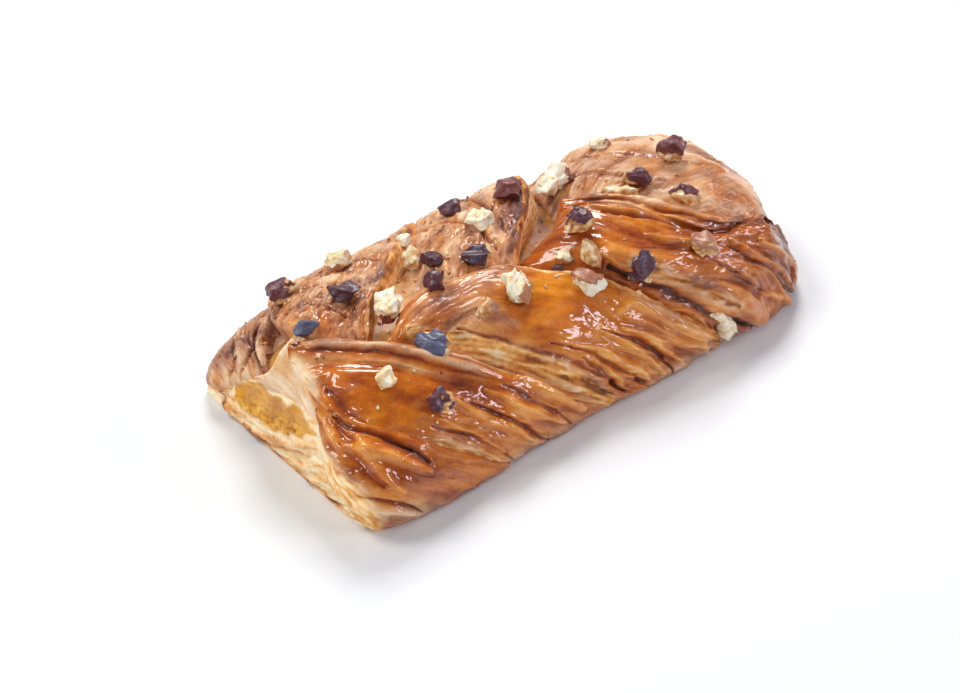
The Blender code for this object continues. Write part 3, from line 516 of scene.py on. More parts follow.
# %% The marks on each strip
MARKS = {
    "near_end": [
        # painted shade: the valley at the seam with near_1 is darkened a little, and more glazed
        Mark([(-62.6, -19), (-62.8, -23.5), (-62.4, -28), (-61.4, -32), (-60, -35.5)], 1.5, -0.8,
             0.04, glaze=0.3),
        stain([(-60, -28), (-54, -34), (-48, -39)], 4, 0.12, glaze=0.1),
        ridge([(-60.8, -24), (-60.4, -30), (-59, -35), (-57, -38)], 1.5, 0.8),
        groove([(-62.6, -16.5), (-60.5, -21.4), (-57.4, -25.4), (-53.4, -30.9), (-49.5, -35.5)],
               1.4, 1.2),
        ridge([(-64.5, -13), (-64.5, -20), (-62, -26), (-56, -32)], 1.2, 0.6),
        ridge([(-63, -24), (-58.7, -28.7), (-54.9, -33), (-50, -37)], 1.3, 0.8),
        groove([(-65.6, -35.1), (-61.2, -38.2), (-57.3, -41.1), (-53.7, -45)], 0.9, 0.9),
        ridge([(-66, -37.5), (-61, -40.5), (-56, -44)], 1.2, 0.7),
        Mark([(-62, -41.5), (-57, -44), (-48, -47)], 3.4, 0.2, 0.02, glaze=-0.9),
        stain([(-70, -8), (-71, -16), (-71.5, -22), (-70.5, -27), (-69, -32), (-67.5, -37),
               (-66, -42), (-64, -50)], 4.4, -0.36, glaze=-1.6, layers=1),
        Mark([(-65, -12), (-67, -19), (-66, -25), (-64.8, -30), (-62.8, -35.5)], 0.8, 0.6, 0.14,
             glaze=-0.2),
        Mark([(-66.3, -20), (-64.8, -26), (-63.8, -30.5)], 1.3, -0.3, glaze=0.3),
    ],
    "near_1": [
        groove([(-62.3, -15.5), (-60.5, -21.4), (-57.4, -25.4), (-53.4, -30.9), (-50, -35)], 1,
               0.9),
        # painted shade: the valley at the seam with near_end is darkened a little, and more glazed
        Mark([(-59.8, -12), (-59.9, -15), (-59.4, -18.5), (-58, -22.5)], 1.5, -0.9, 0.08,
             glaze=0.3),
        ridge([(-22.9, -30.2), (-18, -34.6), (-13.9, -39), (-9.8, -43.5)], 1.2, 1),
        ridge([(-30.5, -29.4), (-26, -34.2), (-22, -38.4), (-14.7, -44)], 1.2, 0.9),
        Mark([(-16.7, -42.4), (-11.3, -43.7), (-9.9, -41.9)], 2, 0.7, glaze=-0.2),
        ridge([(-39.3, -27.5), (-33.8, -33.6), (-27.6, -39.5), (-22.9, -44.1)], 1.1, 0.9),
        ridge([(-43.7, -29.9), (-37.2, -35.7), (-30.9, -43.3)], 1, 0.8),
        ridge([(-46, -32.9), (-41.7, -36), (-35.7, -41), (-32, -45)], 0.8, 0.5),
        ridge([(-54.3, -32.7), (-49.9, -39)], 0.9, 0.6),
        groove([(-34.9, -30.3), (-29.2, -35.7), (-22.7, -42.4), (-18, -47.5)], 1, 1),
        groove([(-26.5, -30), (-22.5, -34.5), (-17.5, -39.5), (-12.5, -45.5)], 0.9, 0.8),
        groove([(-45.5, -30.5), (-35.4, -38.5), (-28.4, -46.4)], 0.9, 0.8),
        Mark([(-51.7, -31.6), (-45.3, -37), (-38.6, -42), (-34.4, -46.1)], 3, -0.2, -0.04,
             glaze=-1.2, layers=1),
        stain([(-40, -47.5), (-25, -47), (-10, -46.5)], 2.8, 0, glaze=-0.8),
        stain([(-60.5, -1), (-61.8, -6), (-62.2, -10)], 2.6, -0.25, glaze=-1, layers=0.4),
        Mark([(-58.4, 1.5), (-57.6, 0.2)], 0.8, -1.6, 0.6),
        stain([(-54, -12), (-46, -18), (-38, -24), (-28, -30)], 5, 0.09),
        stain([(-44, -38), (-36, -42), (-24, -43)], 5, -0.08),
        Mark([(-60, -7), (-59.5, -11)], 2.6, -0.5),
        stain([(-38.5, -15.5), (-31, -21), (-25, -26), (-19, -31.5), (-12, -39), (-4, -47.5)], 0.9,
              -0.05, glaze=-0.9, layers=0.6),
    ],
    "near_2": [
        groove([(-29.2, -15.9), (-21.7, -22.5), (-18.3, -25.4), (-10.4, -31.3), (-4.2, -37.2),
                (3.8, -46.1)], 1.1, 0.7),
        groove([(0.6, -29.8), (5.9, -33.9), (11.7, -38.6), (14.4, -43.2), (16.6, -47.3)], 1, 1.2),
        groove([(-12.9, -26.7), (-5.8, -31.5), (1.6, -38.6), (10.2, -48)], 0.8, 0.8),
        groove([(-6.5, -33), (-1.4, -39.3), (2.8, -45.8)], 0.8, 0.8),
        ridge([(5.5, -31.4), (11, -35.7), (14.8, -40.4), (19, -46)], 1.2, 0.9),
        ridge([(0.5, -30.1), (4.5, -34), (8.7, -38.5), (13, -45)], 1.1, 0.9),
        ridge([(-7.6, -29.6), (-1.2, -33.8), (5.5, -40.4), (10, -46)], 1, 0.8),
        ridge([(-4.2, -34.5), (-0.7, -38), (3.6, -45.5)], 0.8, 0.6),
        ridge([(18.6, -36), (23.8, -41.1), (27, -46)], 1.3, 0.7),
        ridge([(5.5, -28.2), (10.2, -28), (13.6, -31.3)], 0.9, 0.5),
        Mark([(6, -17.5), (13, -25.7), (20, -33), (25, -38.5), (31, -46.5)], 2, 0.1, 0.02,
             glaze=-1.1, layers=0.9),
        stain([(-35, -9), (-27, -9), (-18, -8.5), (-9, -8)], 4.2, 0.1, glaze=-0.5),
        stain([(-30, -14), (-24, -15), (-18, -20)], 2.6, 0.1, glaze=-0.6),
        Mark([(-12.6, -6.2), (-7.1, -7.8), (-3.5, -10)], 1.4, 0.3, glaze=-0.9, layers=0.4),
        stain([(10, -47.5), (22, -47), (36, -47)], 2.8, 0, glaze=-0.8),
        Mark([(-38, -11.5), (-31, -17), (-22, -25.5), (-10, -36), (-1, -46.5)], 2.6, -0.1, -0.12,
             glaze=-1.2, layers=1),
        Mark([(-11, -35), (-6, -39.5), (-1, -44)], 1.7, -0.3, 0.26, glaze=-0.5),
        stain([(-8, -17), (2, -18), (12, -19)], 6.5, -0.13, glaze=0.2),
        Mark([(16, -24), (20, -30)], 3, -0.5, 0.05),
    ],
    "near_3": [
        groove([(16, -8.5), (20.2, -12.2), (26.8, -16.5), (32.8, -20.3), (38.5, -23.2),
                (48.8, -23.5)], 1.2, 1),
        ridge([(13, -4), (18.5, -9.5), (26, -14.3), (33, -18.5), (40, -21.5)], 1, 0.6),
        ridge([(20, -17.7), (23.8, -20.3), (30.3, -23.6)], 1.3, 0.7),
        groove([(37.2, -26.5), (41.7, -31.4), (47.1, -35.8), (52.3, -42)], 0.9, 0.9),
        groove([(47.5, -37.1), (50, -40.9), (55.1, -47.3)], 1.1, 1.4),
        ridge([(38.8, -26.2), (44.4, -31.8), (50, -38)], 1.2, 0.8),
        groove([(31.2, -27), (36.3, -32.3), (42.5, -38.9)], 0.8, 0.7),
        ridge([(46.6, -29.1), (52.3, -34.2), (57, -39)], 1.3, 0.8),
        groove([(52, -27), (58, -32), (61, -36)], 0.9, 0.8),
        ridge([(40.9, -38.1), (47.7, -42.4), (52.3, -47.7)], 1.2, 0.8),
        Mark([(17.4, -0.4), (23.7, -8.1), (31, -11.5), (38.3, -17.4), (48.7, -21.5)], 1.8, 0.2,
             0.05, glaze=-0.5),
        stain([(45, -47.5), (56, -47), (70, -44)], 2.2, 0.05, glaze=-0.7),
        Mark([(53, -26), (55, -30), (55, -35), (55, -41)], 4, -1.6),
        Mark([(58, -26), (60.5, -30), (62, -36), (63.5, -43)], 4.5, -0.9, glaze=0.2),
        Mark([(56, -24), (60.5, -28), (63, -33), (64, -40)], 4.2, -2.2, 0.04, glaze=-1.5),
        Mark([(10, -17.5), (17, -24), (23, -29), (29.5, -34), (36.5, -40), (42, -45)], 3.4, 1.6,
             0.06, glaze=-0.1),
        # painted shade: the crack under near_2's edge is darkened as the shadow in it
        Mark([(9, -19.5), (16, -26), (22, -31.7), (28.5, -37.9), (35, -43), (41, -47)], 1, -1.2,
             0.25, glaze=-0.3),
        Mark([(13, -20.5), (20, -26), (27, -31.5), (34, -37.5)], 1.5, 0.3, 0.06, glaze=-0.8,
             layers=0.6),
        stain([(20, -6), (30, -12), (40, -17)], 4.5, -0.1),
    ],
    "far_end": [
        soft_groove([(-69, 12), (-65, 16), (-60, 19), (-55, 22)], 1.2),
        soft_groove([(-68, 16), (-63, 19), (-58, 23)], 1.2),
        soft_groove([(-71, 23), (-65, 26), (-58, 29)], 1.1),
        # painted shade: the first and the third crease above are darkened along their length
        stain([(-69, 12), (-65, 16), (-60, 19), (-55, 22)], 0.6, 0.12),
        stain([(-71, 23), (-65, 26), (-58, 29)], 0.6, 0.12),
        ridge([(-67.5, 11.5), (-63.5, 14.5), (-59, 17)], 1, 0.8),
        ridge([(-70, 19.5), (-64, 22.5), (-58, 26)], 1.1, 0.9),
        Mark([(-71, 13), (-73.5, 20), (-74.5, 29), (-72.5, 38)], 6, 1.5),
        stain([(-65, 26), (-60, 22), (-57, 19.5)], 2.6, 0.22),
        soft_groove([(-73, 22), (-69, 19), (-64, 17.5), (-60, 18)], 1.2),
        soft_groove([(-74, 29), (-70, 25), (-65, 22)], 0.9),
    ],
    "far_1": [
        soft_groove([(-52, 26), (-44, 16), (-38, 9)], 0.7),
        soft_groove([(-44, 34), (-34, 20), (-28, 12)], 0.7),
        soft_groove([(-53, 14), (-48, 8), (-45, 0)], 0.6),
        soft_ridge([(-48, 26), (-40, 16), (-35, 9)]),
        soft_ridge([(-38, 34), (-28, 20), (-23, 15)]),
        stain([(-54, 8), (-48, 2), (-44, -5)], 3.4, -0.04, glaze=0.2),
        stain([(-40, 11), (-34, 6), (-28, 10)], 2, 0.12, glaze=-0.4),
        stain([(-50, 10), (-46, 7), (-42, 3)], 5, 0.08),
    ],
    "far_2": [
        soft_groove([(-14, 34), (-10, 20), (-7, 8), (-8, -3)], 0.8),
        soft_groove([(0, 36), (2, 22), (1, 10), (-3, 0)], 0.8),
        soft_ridge([(-8, 36), (-5, 20), (-4, 8), (-6, -3)]),
        soft_ridge([(10, 38), (10, 24), (8, 12)]),
        soft_groove([(20, 40), (15, 26), (12, 15)], 0.6),
        stain([(14, 18), (9, 9), (2, 1)], 2.6, 0.16, glaze=-0.4),
        Mark([(10, 12), (4, 6), (0, 1), (-4, -4)], 5, -0.3, 0.1),
        stain([(-12, 22), (-9, 15), (-8, 8)], 5, -0.12),
    ],
    "far_3": [
        soft_groove([(22, 30), (30, 18), (40, 6), (50, -6)], 0.8),
        soft_groove([(34, 38), (46, 24), (57, 8), (62, -8)], 0.7),
        soft_ridge([(28, 32), (38, 18), (48, 4), (55, -8)]),
        soft_ridge([(44, 40), (56, 24), (65, 8), (68, -8)]),
        soft_groove([(20, 14), (28, 4), (38, -6)], 0.7),
        soft_groove([(72, 20), (74, 2), (70, -14), (62, -28)], 0.7),
        soft_ridge([(66, 18), (69, 2), (65, -13)]),
        Mark([(56, 11), (58, 5), (60, -1)], 5, -1.6),
        Mark([(80, -20), (76, -28), (70, -34), (64, -40)], 8, -3.6, 0.1, glaze=1.4),
        stain([(52, -4), (60, -10), (66, -18)], 6, 0.02, glaze=0.6),
        stain([(48, 6), (56, 12), (64, 10)], 5, -0.1, glaze=-0.3),
        stain([(19, 22), (17, 12), (15.5, 3)], 2.4, 0.12, glaze=-0.4),
        stain([(22, 9), (30, 2), (36, -3)], 4.5, 0.1),
    ],
}
print(sum(len(marks) for marks in MARKS.values()), "marks")

# %% [markdown]
# ## How brown, how glazed
#
# The oven and the brush treat the strips differently: the near ones are thick with amber glaze,
# the far ones stay dull, and the crumpled end is burnt a little. Each strip therefore has a base
# level of browning and of glaze, and the noise and the marks move the masks from there.

# %% Base levels
#   browning, glaze, bare width of the cut edge, and heights in mm of: wrinkles, pleats, crumple
FINISHES = {
    "near_end": (0.51, 0.95, 0.6, 0.14, 0.22, 0.04),
    "near_1": (0.50, 1.00, 1.2, 0.12, 0.40, 0.04),
    "near_2": (0.46, 0.95, 1.6, 0.16, 0.55, 0.06),
    "near_3": (0.58, 0.95, 1.6, 0.18, 0.55, 0.08),
    "far_end": (0.60, 0.30, 1.2, 0.12, 0.14, 0.08),
    "far_1": (0.53, 0.38, 1.4, 0.18, 0.30, 0.26),
    "far_2": (0.53, 0.38, 1.2, 0.16, 0.26, 0.20),
    "far_3": (0.49, 0.32, 1.6, 0.14, 0.20, 0.10),
    "web": (0.26, 0.05, 0.5, 0.10, 0.10, 0.14),
}
#   folds of a rolled lip: distance from its edge, width, height in mm, then browning and glaze; the
#   browning of the narrow grooves between the folds is partly painted shade
LIP_FOLDS = {
    "near_1": [(0.8, 0.8, 0.35, -0.08, -1.3), (1.9, 0.25, -0.35, 0.24, -0.2),
               (3.0, 0.8, 0.35, -0.06, -1.2), (4.4, 0.4, -0.55, 0.26, 0.1),
               (6.3, 1.0, 0.7, 0.0, -0.5), (8.2, 0.6, -0.3, 0.12, 0.2)],
    "near_3": [(1.8, 0.9, 0.3, 0.05, -0.5), (4.2, 0.6, -0.6, 0.20, 0.1),
               (6.4, 0.9, 0.7, 0.0, -0.4)],
}
WET_EDGE_UP_TO, WET_EDGE_BLUR = {"near_3": 0.5, "far_end": 1.2}, 0.1

# %% The unevenness of a strip
#   each one's length and width in mm, what it adds to the strip's own seed, and its amount
STRIP_GRAIN = {
    "wander_down": (6, 6, 12, 0.55), "small_wander_down": (2, 2, 14, 0.18),
    "wander_across": (6, 6, 13, 0.55), "small_wander_across": (2, 2, 15, 0.18),
    "shift_down": (8, 8, 1, 1.3), "shift_across": (12, 7, 2, 1.5),
    "folds": (17, 3.4, 3, 1), "waves": (13, 8, 10, 0.35), "streaks": (9, 1.1, 4, 1),
    "creases": (8, 3.2, 5, 1), "creased_part": (11, 9, 16, 1), "foot": (9, 6, 18, 5),
    "pleats": (13, 3.0, 17, 1), "small_pleats": (7, 1.4, 19, 0.5),
    "crumple": (4.2, 2.8, 23, 1), "small_crumple": (1.9, 1.3, 24, 0.6),
    "plates": (2.8, 1.0, 8, 1), "edge": (5, 2, 9, 0.9), "torn": (3.5, 1.4, 26, 0.22),
    "lane": (8, 5, 31, 0.5), "long_lines": (9, 0.95, 27, 0.6), "short_lines": (4, 0.7, 28, 0.3),
    "lip_bend": (11, 9, 25, 0.9), "small_lip_bend": (3, 3, 29, 0.4),
    "lip_strength": (7, 2, 30, 0.6), "brush": (6, 3, 32, 1),
    "patches": (9, 6, 21, 1), "small_patches": (3, 2, 22, 0.5),
}
LEAF_GRAIN = {"wobble": (9, 3, 0, 0.9), "small_wobble": (2, 1, 0, 0.25), "torn": (3, 1, 5, 0.4)}
#   size in mm, what it adds to the seed, and the share of places that have a bubble
BUBBLES, SMALL_BUBBLES = (3.4, 6, 0.5), (1.5, 7, 0.4)
#   heights in mm, or as a share of the height that the strip's finish gives
RISE = {"folds": 2.0, "streaks": 0.8, "creases": -1.3, "pleats": 0.8, "bubbles": 0.26,
        "small_bubbles": 0.09, "plates": 0.16, "leaves": 0.24}
#   how much of each one the syrup fills
SYRUP_FILLS = {"streaks": 0.75, "bubbles": 0.55, "small_bubbles": 0.8}
#   what each one adds to the browning, and to the glaze; for creases and crumple the browning is
#   painted shade in the hollows, and for crests a painted sheen
BROWNING_AND_PAINTED_LIGHT = {"patches": 0.14, "streaks": 0.05, "crests": -0.05, "creases": 0.14,
         "crumpled_creases": 0.3, "crumple": -0.16}
SHINE = {"brush": 0.55, "bubbles": -0.2, "crests": -0.15, "layers": -0.9}
#   where a mask or a pattern begins and where it is whole
CREASED_PART, CREASE_WIDTH, CREASES_WITHOUT_GLAZE = (0.0, 0.5), 0.08, 1.15
PLEATS_FADE, PLEATS_BEGIN, PLEAT_LEVEL, CRUMPLE_LEVEL = (27.0, 14.0), (1.0, 6.0), 0.3, 0.5
BARE_EDGE_MORE, BARE_EDGE_WHOLE, EDGE_PLATES, BARE = 0.9, 0.4, 0.3, (0.30, 0.62)
CREST, BRUSHED, BRUSH_LEVEL, BRUSH_PATCHES = (0.10, 0.38), (-0.15, 0.40), 0.4, 0.4
LIP_LEVEL, RELIEF_SUNK, RELIEF_SUNK_UP_TO, EDGE_CALM, EDGE_CALM_UP_TO = 0.75, 0.35, 12.0, 0.45, 1.2
END_CALM, END_CALM_BETWEEN = 0.5, (46, 60)
LAYER, LEAF_SHUT, LEAF_OPEN, LEAF_TORN, LEAF_APART = 0.75, (0.88, 1.0), (0.0, 0.75), 0.6, 7.3


def laminations(depth, along, seed):
    """The thin leaves of rolled dough seen edge-on: steps of height -1 to 1, one a LAYER."""
    grain = grains(LEAF_GRAIN, along, depth, seed)
    step = (depth + grain("wobble", "small_wobble")) / LAYER
    saw = step - np.floor(step)
    torn = LEAF_TORN + grain("torn", second=np.floor(step) * LEAF_APART)
    return (2 * ease(saw, *LEAF_OPEN) * (1 - ease(saw, *LEAF_SHUT)) - 1) * torn


def past_wet_edge(name, sheet):
    """0 where syrup has run over a strip's cut edge, 1 further up."""
    up_to = WET_EDGE_UP_TO.get(name, -1.0)
    return ease(sheet.share, up_to - WET_EDGE_BLUR, up_to + WET_EDGE_BLUR)


# %% The skin of a strip
def dress_strip(name, sheet, seed):
    """The height to add to a strip's face, and its masks."""
    browning, glazed, bare_width, wrinkle, pleat, crumple = FINISHES[name]
    down, across = sheet.from_root, sheet.from_right
    plain = grains(STRIP_GRAIN, down, across, seed)
    d, c = down + plain("shift_down"), across + plain("shift_across")
    bent = grains(STRIP_GRAIN, d, c, seed)
    masks = {mask: np.zeros(down.shape) for mask in MASKS}
    wander = np.stack([plain("wander_down", "small_wander_down"),
                       plain("wander_across", "small_wander_across")], axis=-1)
    marked = draw_marks(MARKS.get(name, []), sheet.place + wander, masks)

    streaks, plates = bent("streaks"), bent("plates", kind=flakes)
    creases = (hump(bent("creases"), 0.0, CREASE_WIDTH)
               * ease(plain("creased_part"), *CREASED_PART) * (CREASES_WITHOUT_GLAZE - glazed))
    foot = ease(down + plain("foot"), *PLEATS_FADE) * ease(down, *PLEATS_BEGIN)
    pleats = bent("pleats", "small_pleats", kind=folded) - PLEAT_LEVEL
    crumpled = crumple * (bent("crumple", "small_crumple", kind=folded) - CRUMPLE_LEVEL)
    bubbles, small = (blisters(d, c, size, seed + own_seed, share)
                      for size, own_seed, share in (BUBBLES, SMALL_BUBBLES))

    rolled = sheet.curled * (STRIPS[name].lip > 0)
    edge = ease(across + plain("edge") + EDGE_PLATES * plates, bare_width + BARE_EDGE_MORE,
                bare_width * BARE_EDGE_WHOLE) * (1 - rolled) * past_wet_edge(name, sheet)
    masks["layers"] = ease(masks["layers"] + edge + plain("torn"), *BARE)
    wide = sheet.from_left + across
    lane = across / wide.clip(1e-6) * wide.mean() + plain("lane")
    masks["streak"] = (0.5 + bent("long_lines", "short_lines", second=lane)).clip(0, 1)
    wet = (glazed + masks["glaze"] - masks["layers"]).clip(0, 1)
    left_dry = {what: 1 - share * wet for what, share in SYRUP_FILLS.items()}
    fold = pleat * foot * (1 - masks["layers"]) * pleats

    height = plain("waves") + wrinkle * (
        RISE["folds"] * bent("folds") + RISE["streaks"] * streaks * left_dry["streaks"]
        + RISE["creases"] * creases)
    for distance, width, rise, bake, glaze in LIP_FOLDS.get(name, []):
        near = (hump(across + plain("lip_bend", "small_lip_bend"), distance, width)
                * rolled * (LIP_LEVEL + plain("lip_strength")))
        height += rise * near
        masks["bake"] += bake * near
        masks["glaze"] += glaze * near
    height += RISE["pleats"] * fold + crumpled + RISE["plates"] * plates * left_dry["streaks"]
    height += RISE["bubbles"] * bubbles * left_dry["bubbles"]
    height += RISE["small_bubbles"] * small * left_dry["small_bubbles"]
    height += RISE["leaves"] * laminations(across, down, seed) * masks["layers"]
    inset = np.minimum(sheet.from_left, across)
    height *= EDGE_CALM + (1 - EDGE_CALM) * ease(inset, 0.0, EDGE_CALM_UP_TO)
    calm = 1 - END_CALM * ease(np.abs(sheet.place[..., 0]), *END_CALM_BETWEEN)
    height = marked + height * calm - RELIEF_SUNK * ease(down, RELIEF_SUNK_UP_TO, 0.0)

    # the height, kept as a mask: the material darkens the low places from it, partly as pooled
    # syrup and partly as painted shade
    masks["raised"] = (0.5 + 0.5 * (height - np.median(height))).clip(0, 1)
    crests = ease(fold + 0.5 * crumpled, *CREST)
    patches = plain("patches", "small_patches")
    # browning, with painted shade in creases and crumple hollows and painted sheen on crests
    masks["bake"] = (masks["bake"] + browning + BROWNING_AND_PAINTED_LIGHT["patches"] * patches
                     + BROWNING_AND_PAINTED_LIGHT["streaks"] * streaks + BROWNING_AND_PAINTED_LIGHT["crests"] * crests
                     + (BROWNING_AND_PAINTED_LIGHT["creases"] + BROWNING_AND_PAINTED_LIGHT["crumpled_creases"] * crumple) * creases
                     + BROWNING_AND_PAINTED_LIGHT["crumple"] * crumpled).clip(0, 1)
    brushed = ease(plain("brush") + BRUSH_PATCHES * patches, *BRUSHED) - BRUSH_LEVEL
    masks["glaze"] = (masks["glaze"] + glazed + SHINE["brush"] * brushed * (1 - glazed)
                      + SHINE["bubbles"] * bubbles + SHINE["crests"] * crests
                      + SHINE["layers"] * masks["layers"]).clip(0, 1)
    return height, masks


# %% The walls of a strip
WALL_DEPTH, WALL_FADE, LEAF_RISE = 8.0, 2.0, 0.16
LEFT_WALL = np.linspace(WALL_DEPTH, 0.9, 8)[None]
RIGHT_WALL = np.linspace(0.35, WALL_DEPTH, 22)[None]
CUT_WALL = {"layers": 1.0, "glaze": 0.0, "bake": 0.3}


def wall_points(edge, depth):
    """A wall of points straight down from the edge of a strip."""
    return towards_spine(edge + 0 * depth[..., None], depth[..., None])


def strip_piece(name, strip, cell, seed, finish):
    """A strip as one closed piece: its face, its two cut walls and a hidden underside."""
    sheet = Sheet(strip, cell)
    height, masks = dress_strip(name, sheet, seed)
    left = wall_points(sheet.top[:, :1], LEFT_WALL)
    right = wall_points(sheet.top[:, -1:], RIGHT_WALL)
    grid = np.concatenate([left, sheet.top, right], axis=1)
    out = np.concatenate([sheet.out[:, :1] + 0 * left, sheet.out, sheet.out[:, -1:] + 0 * right],
                         axis=1)
    leaves = LEAF_RISE * laminations(RIGHT_WALL + 0 * sheet.share, sheet.from_root[:, -1:], seed)
    lift = np.concatenate([height[:, :1] * (1 - ease(LEFT_WALL, 0.0, WALL_FADE)), height,
                           height[:, -1:] * (1 - ease(RIGHT_WALL, 0.0, WALL_FADE)) + leaves],
                          axis=1)
    grid = grid + sheet_normals(grid, out) * lift[..., None]
    grid[..., 2] = grid[..., 2].clip(0.05)
    whole = {}
    for mask, values in masks.items():
        inner = values[:, -1:]
        if mask in CUT_WALL:
            inner = inner + (CUT_WALL[mask] - inner) * past_wet_edge(name, sheet)
        if mask == "streak":
            inner = (0.5 + 3 * leaves).clip(0, 1)
        whole[mask] = np.concatenate([values[:, :1] + 0 * left[..., 0], values,
                                      inner + 0 * right[..., 0]], axis=1)
    return loft(name, grid, whole, finish)


# %% [markdown]
# ## Colours and the node helper
#
# Colours are written as sRGB hex, as a colour picker shows them, and one function turns them
# linear, as the renderer needs them. One more function adds any shader node with its settings and
# links, so each material below reads as a list of what it is made of.

# %% Colour and nodes
#   the sockets of a Mix node repeat for each kind of data, and these are the ones for colours
MIX_FIRST, MIX_SECOND, MIX_RESULT = 6, 7, 2


def linear(hex_colour):
    """A hex sRGB colour as linear red, green, blue and full opacity."""
    levels = [int(hex_colour[i:i + 2], 16) / 255 for i in (1, 3, 5)]
    return (*[v / 12.92 if v <= 0.04045 else ((v + 0.055) / 1.055) ** 2.4 for v in levels], 1.0)


def feed(node, inputs):
    """Gives a node's inputs plain values, or links them to the outputs of other nodes."""
    for socket, value in inputs.items():
        if isinstance(value, bpy.types.NodeSocket):
            node.id_data.links.new(value, node.inputs[socket])
        else:
            node.inputs[socket].default_value = value


def add_node(tree, kind, inputs=None, stops=(), output=0, **settings):
    """Adds a shader node with its settings and links, and gives one of its outputs."""
    node = tree.nodes.new(kind)
    for name, value in settings.items():
        setattr(node, name, value)
    feed(node, inputs or {})
    for number, (position, colour) in enumerate(stops):
        if number >= len(node.color_ramp.elements):
            node.color_ramp.elements.new(1.0)
        element = node.color_ramp.elements[number]
        element.position, element.color = position, linear(colour)
    return node.outputs[output]


def new_finish(name):
    """An empty material with its shader, ready for nodes."""
    finish = bpy.data.materials.new(name)
    finish.use_nodes = True
    return finish, finish.node_tree, finish.node_tree.nodes["Principled BSDF"]


# %% [markdown]
# ## Laminated dough, baked and brushed with syrup
#
# Wheat dough rolled with butter, baked to anything from cream to dark brown, under a coat of
# boiled sugar syrup. To the eye the dry dough is matt and slightly see-through at thin edges; the
# syrup turns it deep amber and gives it a sharp, wet shine. The material therefore has two colour
# ramps over the same browning mask, one for dry and one for glazed dough, and the glaze mask
# mixes them and drives a clear coat. The dry ramp holds a painted pinkish sheen, and the browning
# holds painted shade in creases and hollows.

# %% Baked dough
#   sizes in mm of the patches, the specks and the stains on bare leaves
PATCH_SIZE, SPECK_SIZE, LEAF_STAIN_SIZE = 3.5, 0.7, 1.4
#   how far patches, specks and the height of the dough move the browning; the height darkens the
#   low places and pales the raised ones, partly as pooled syrup and partly as painted shade
PATCH_BROWNING, SPECK_BROWNING, HOLLOW_SHADE_AND_POOLING = 0.34, 0.26, -0.34
LEAF_STAIN_LEVEL, CUSTARD_LEVEL, CUSTARD_SHINE, SYRUP_SMOOTHS = 0.26, 0.28, 0.45, -0.25
# the dry ramp's tan is tinted pinkish in its middle colours: a painted sheen, as of soft light
# reflected by the dough
DRY_DOUGH_WITH_PAINTED_SHEEN = [(0.0, "#FAE8CA"), (0.22, "#F2D4B0"), (0.40, "#DFB896"), (0.58, "#B48466"),
             (0.78, "#70443A"), (1.0, "#3A1E20")]
GLAZED_DOUGH = [(0.0, "#F4BC50"), (0.25, "#E09220"), (0.46, "#C66E0A"), (0.64, "#9E4606"),
                (0.82, "#6A260A"), (1.0, "#36100A")]
BARE_LEAVES = [(0.12, "#8A4C24"), (0.30, "#CC803C"), (0.48, "#EEAC5C"), (0.64, "#FCD296"),
               (0.84, "#FFE8C4")]
RUN_CUSTARD = [(0.3, "#98600E"), (0.46, "#CC8A1C"), (0.60, "#E8B040"), (0.76, "#FCE6B0")]


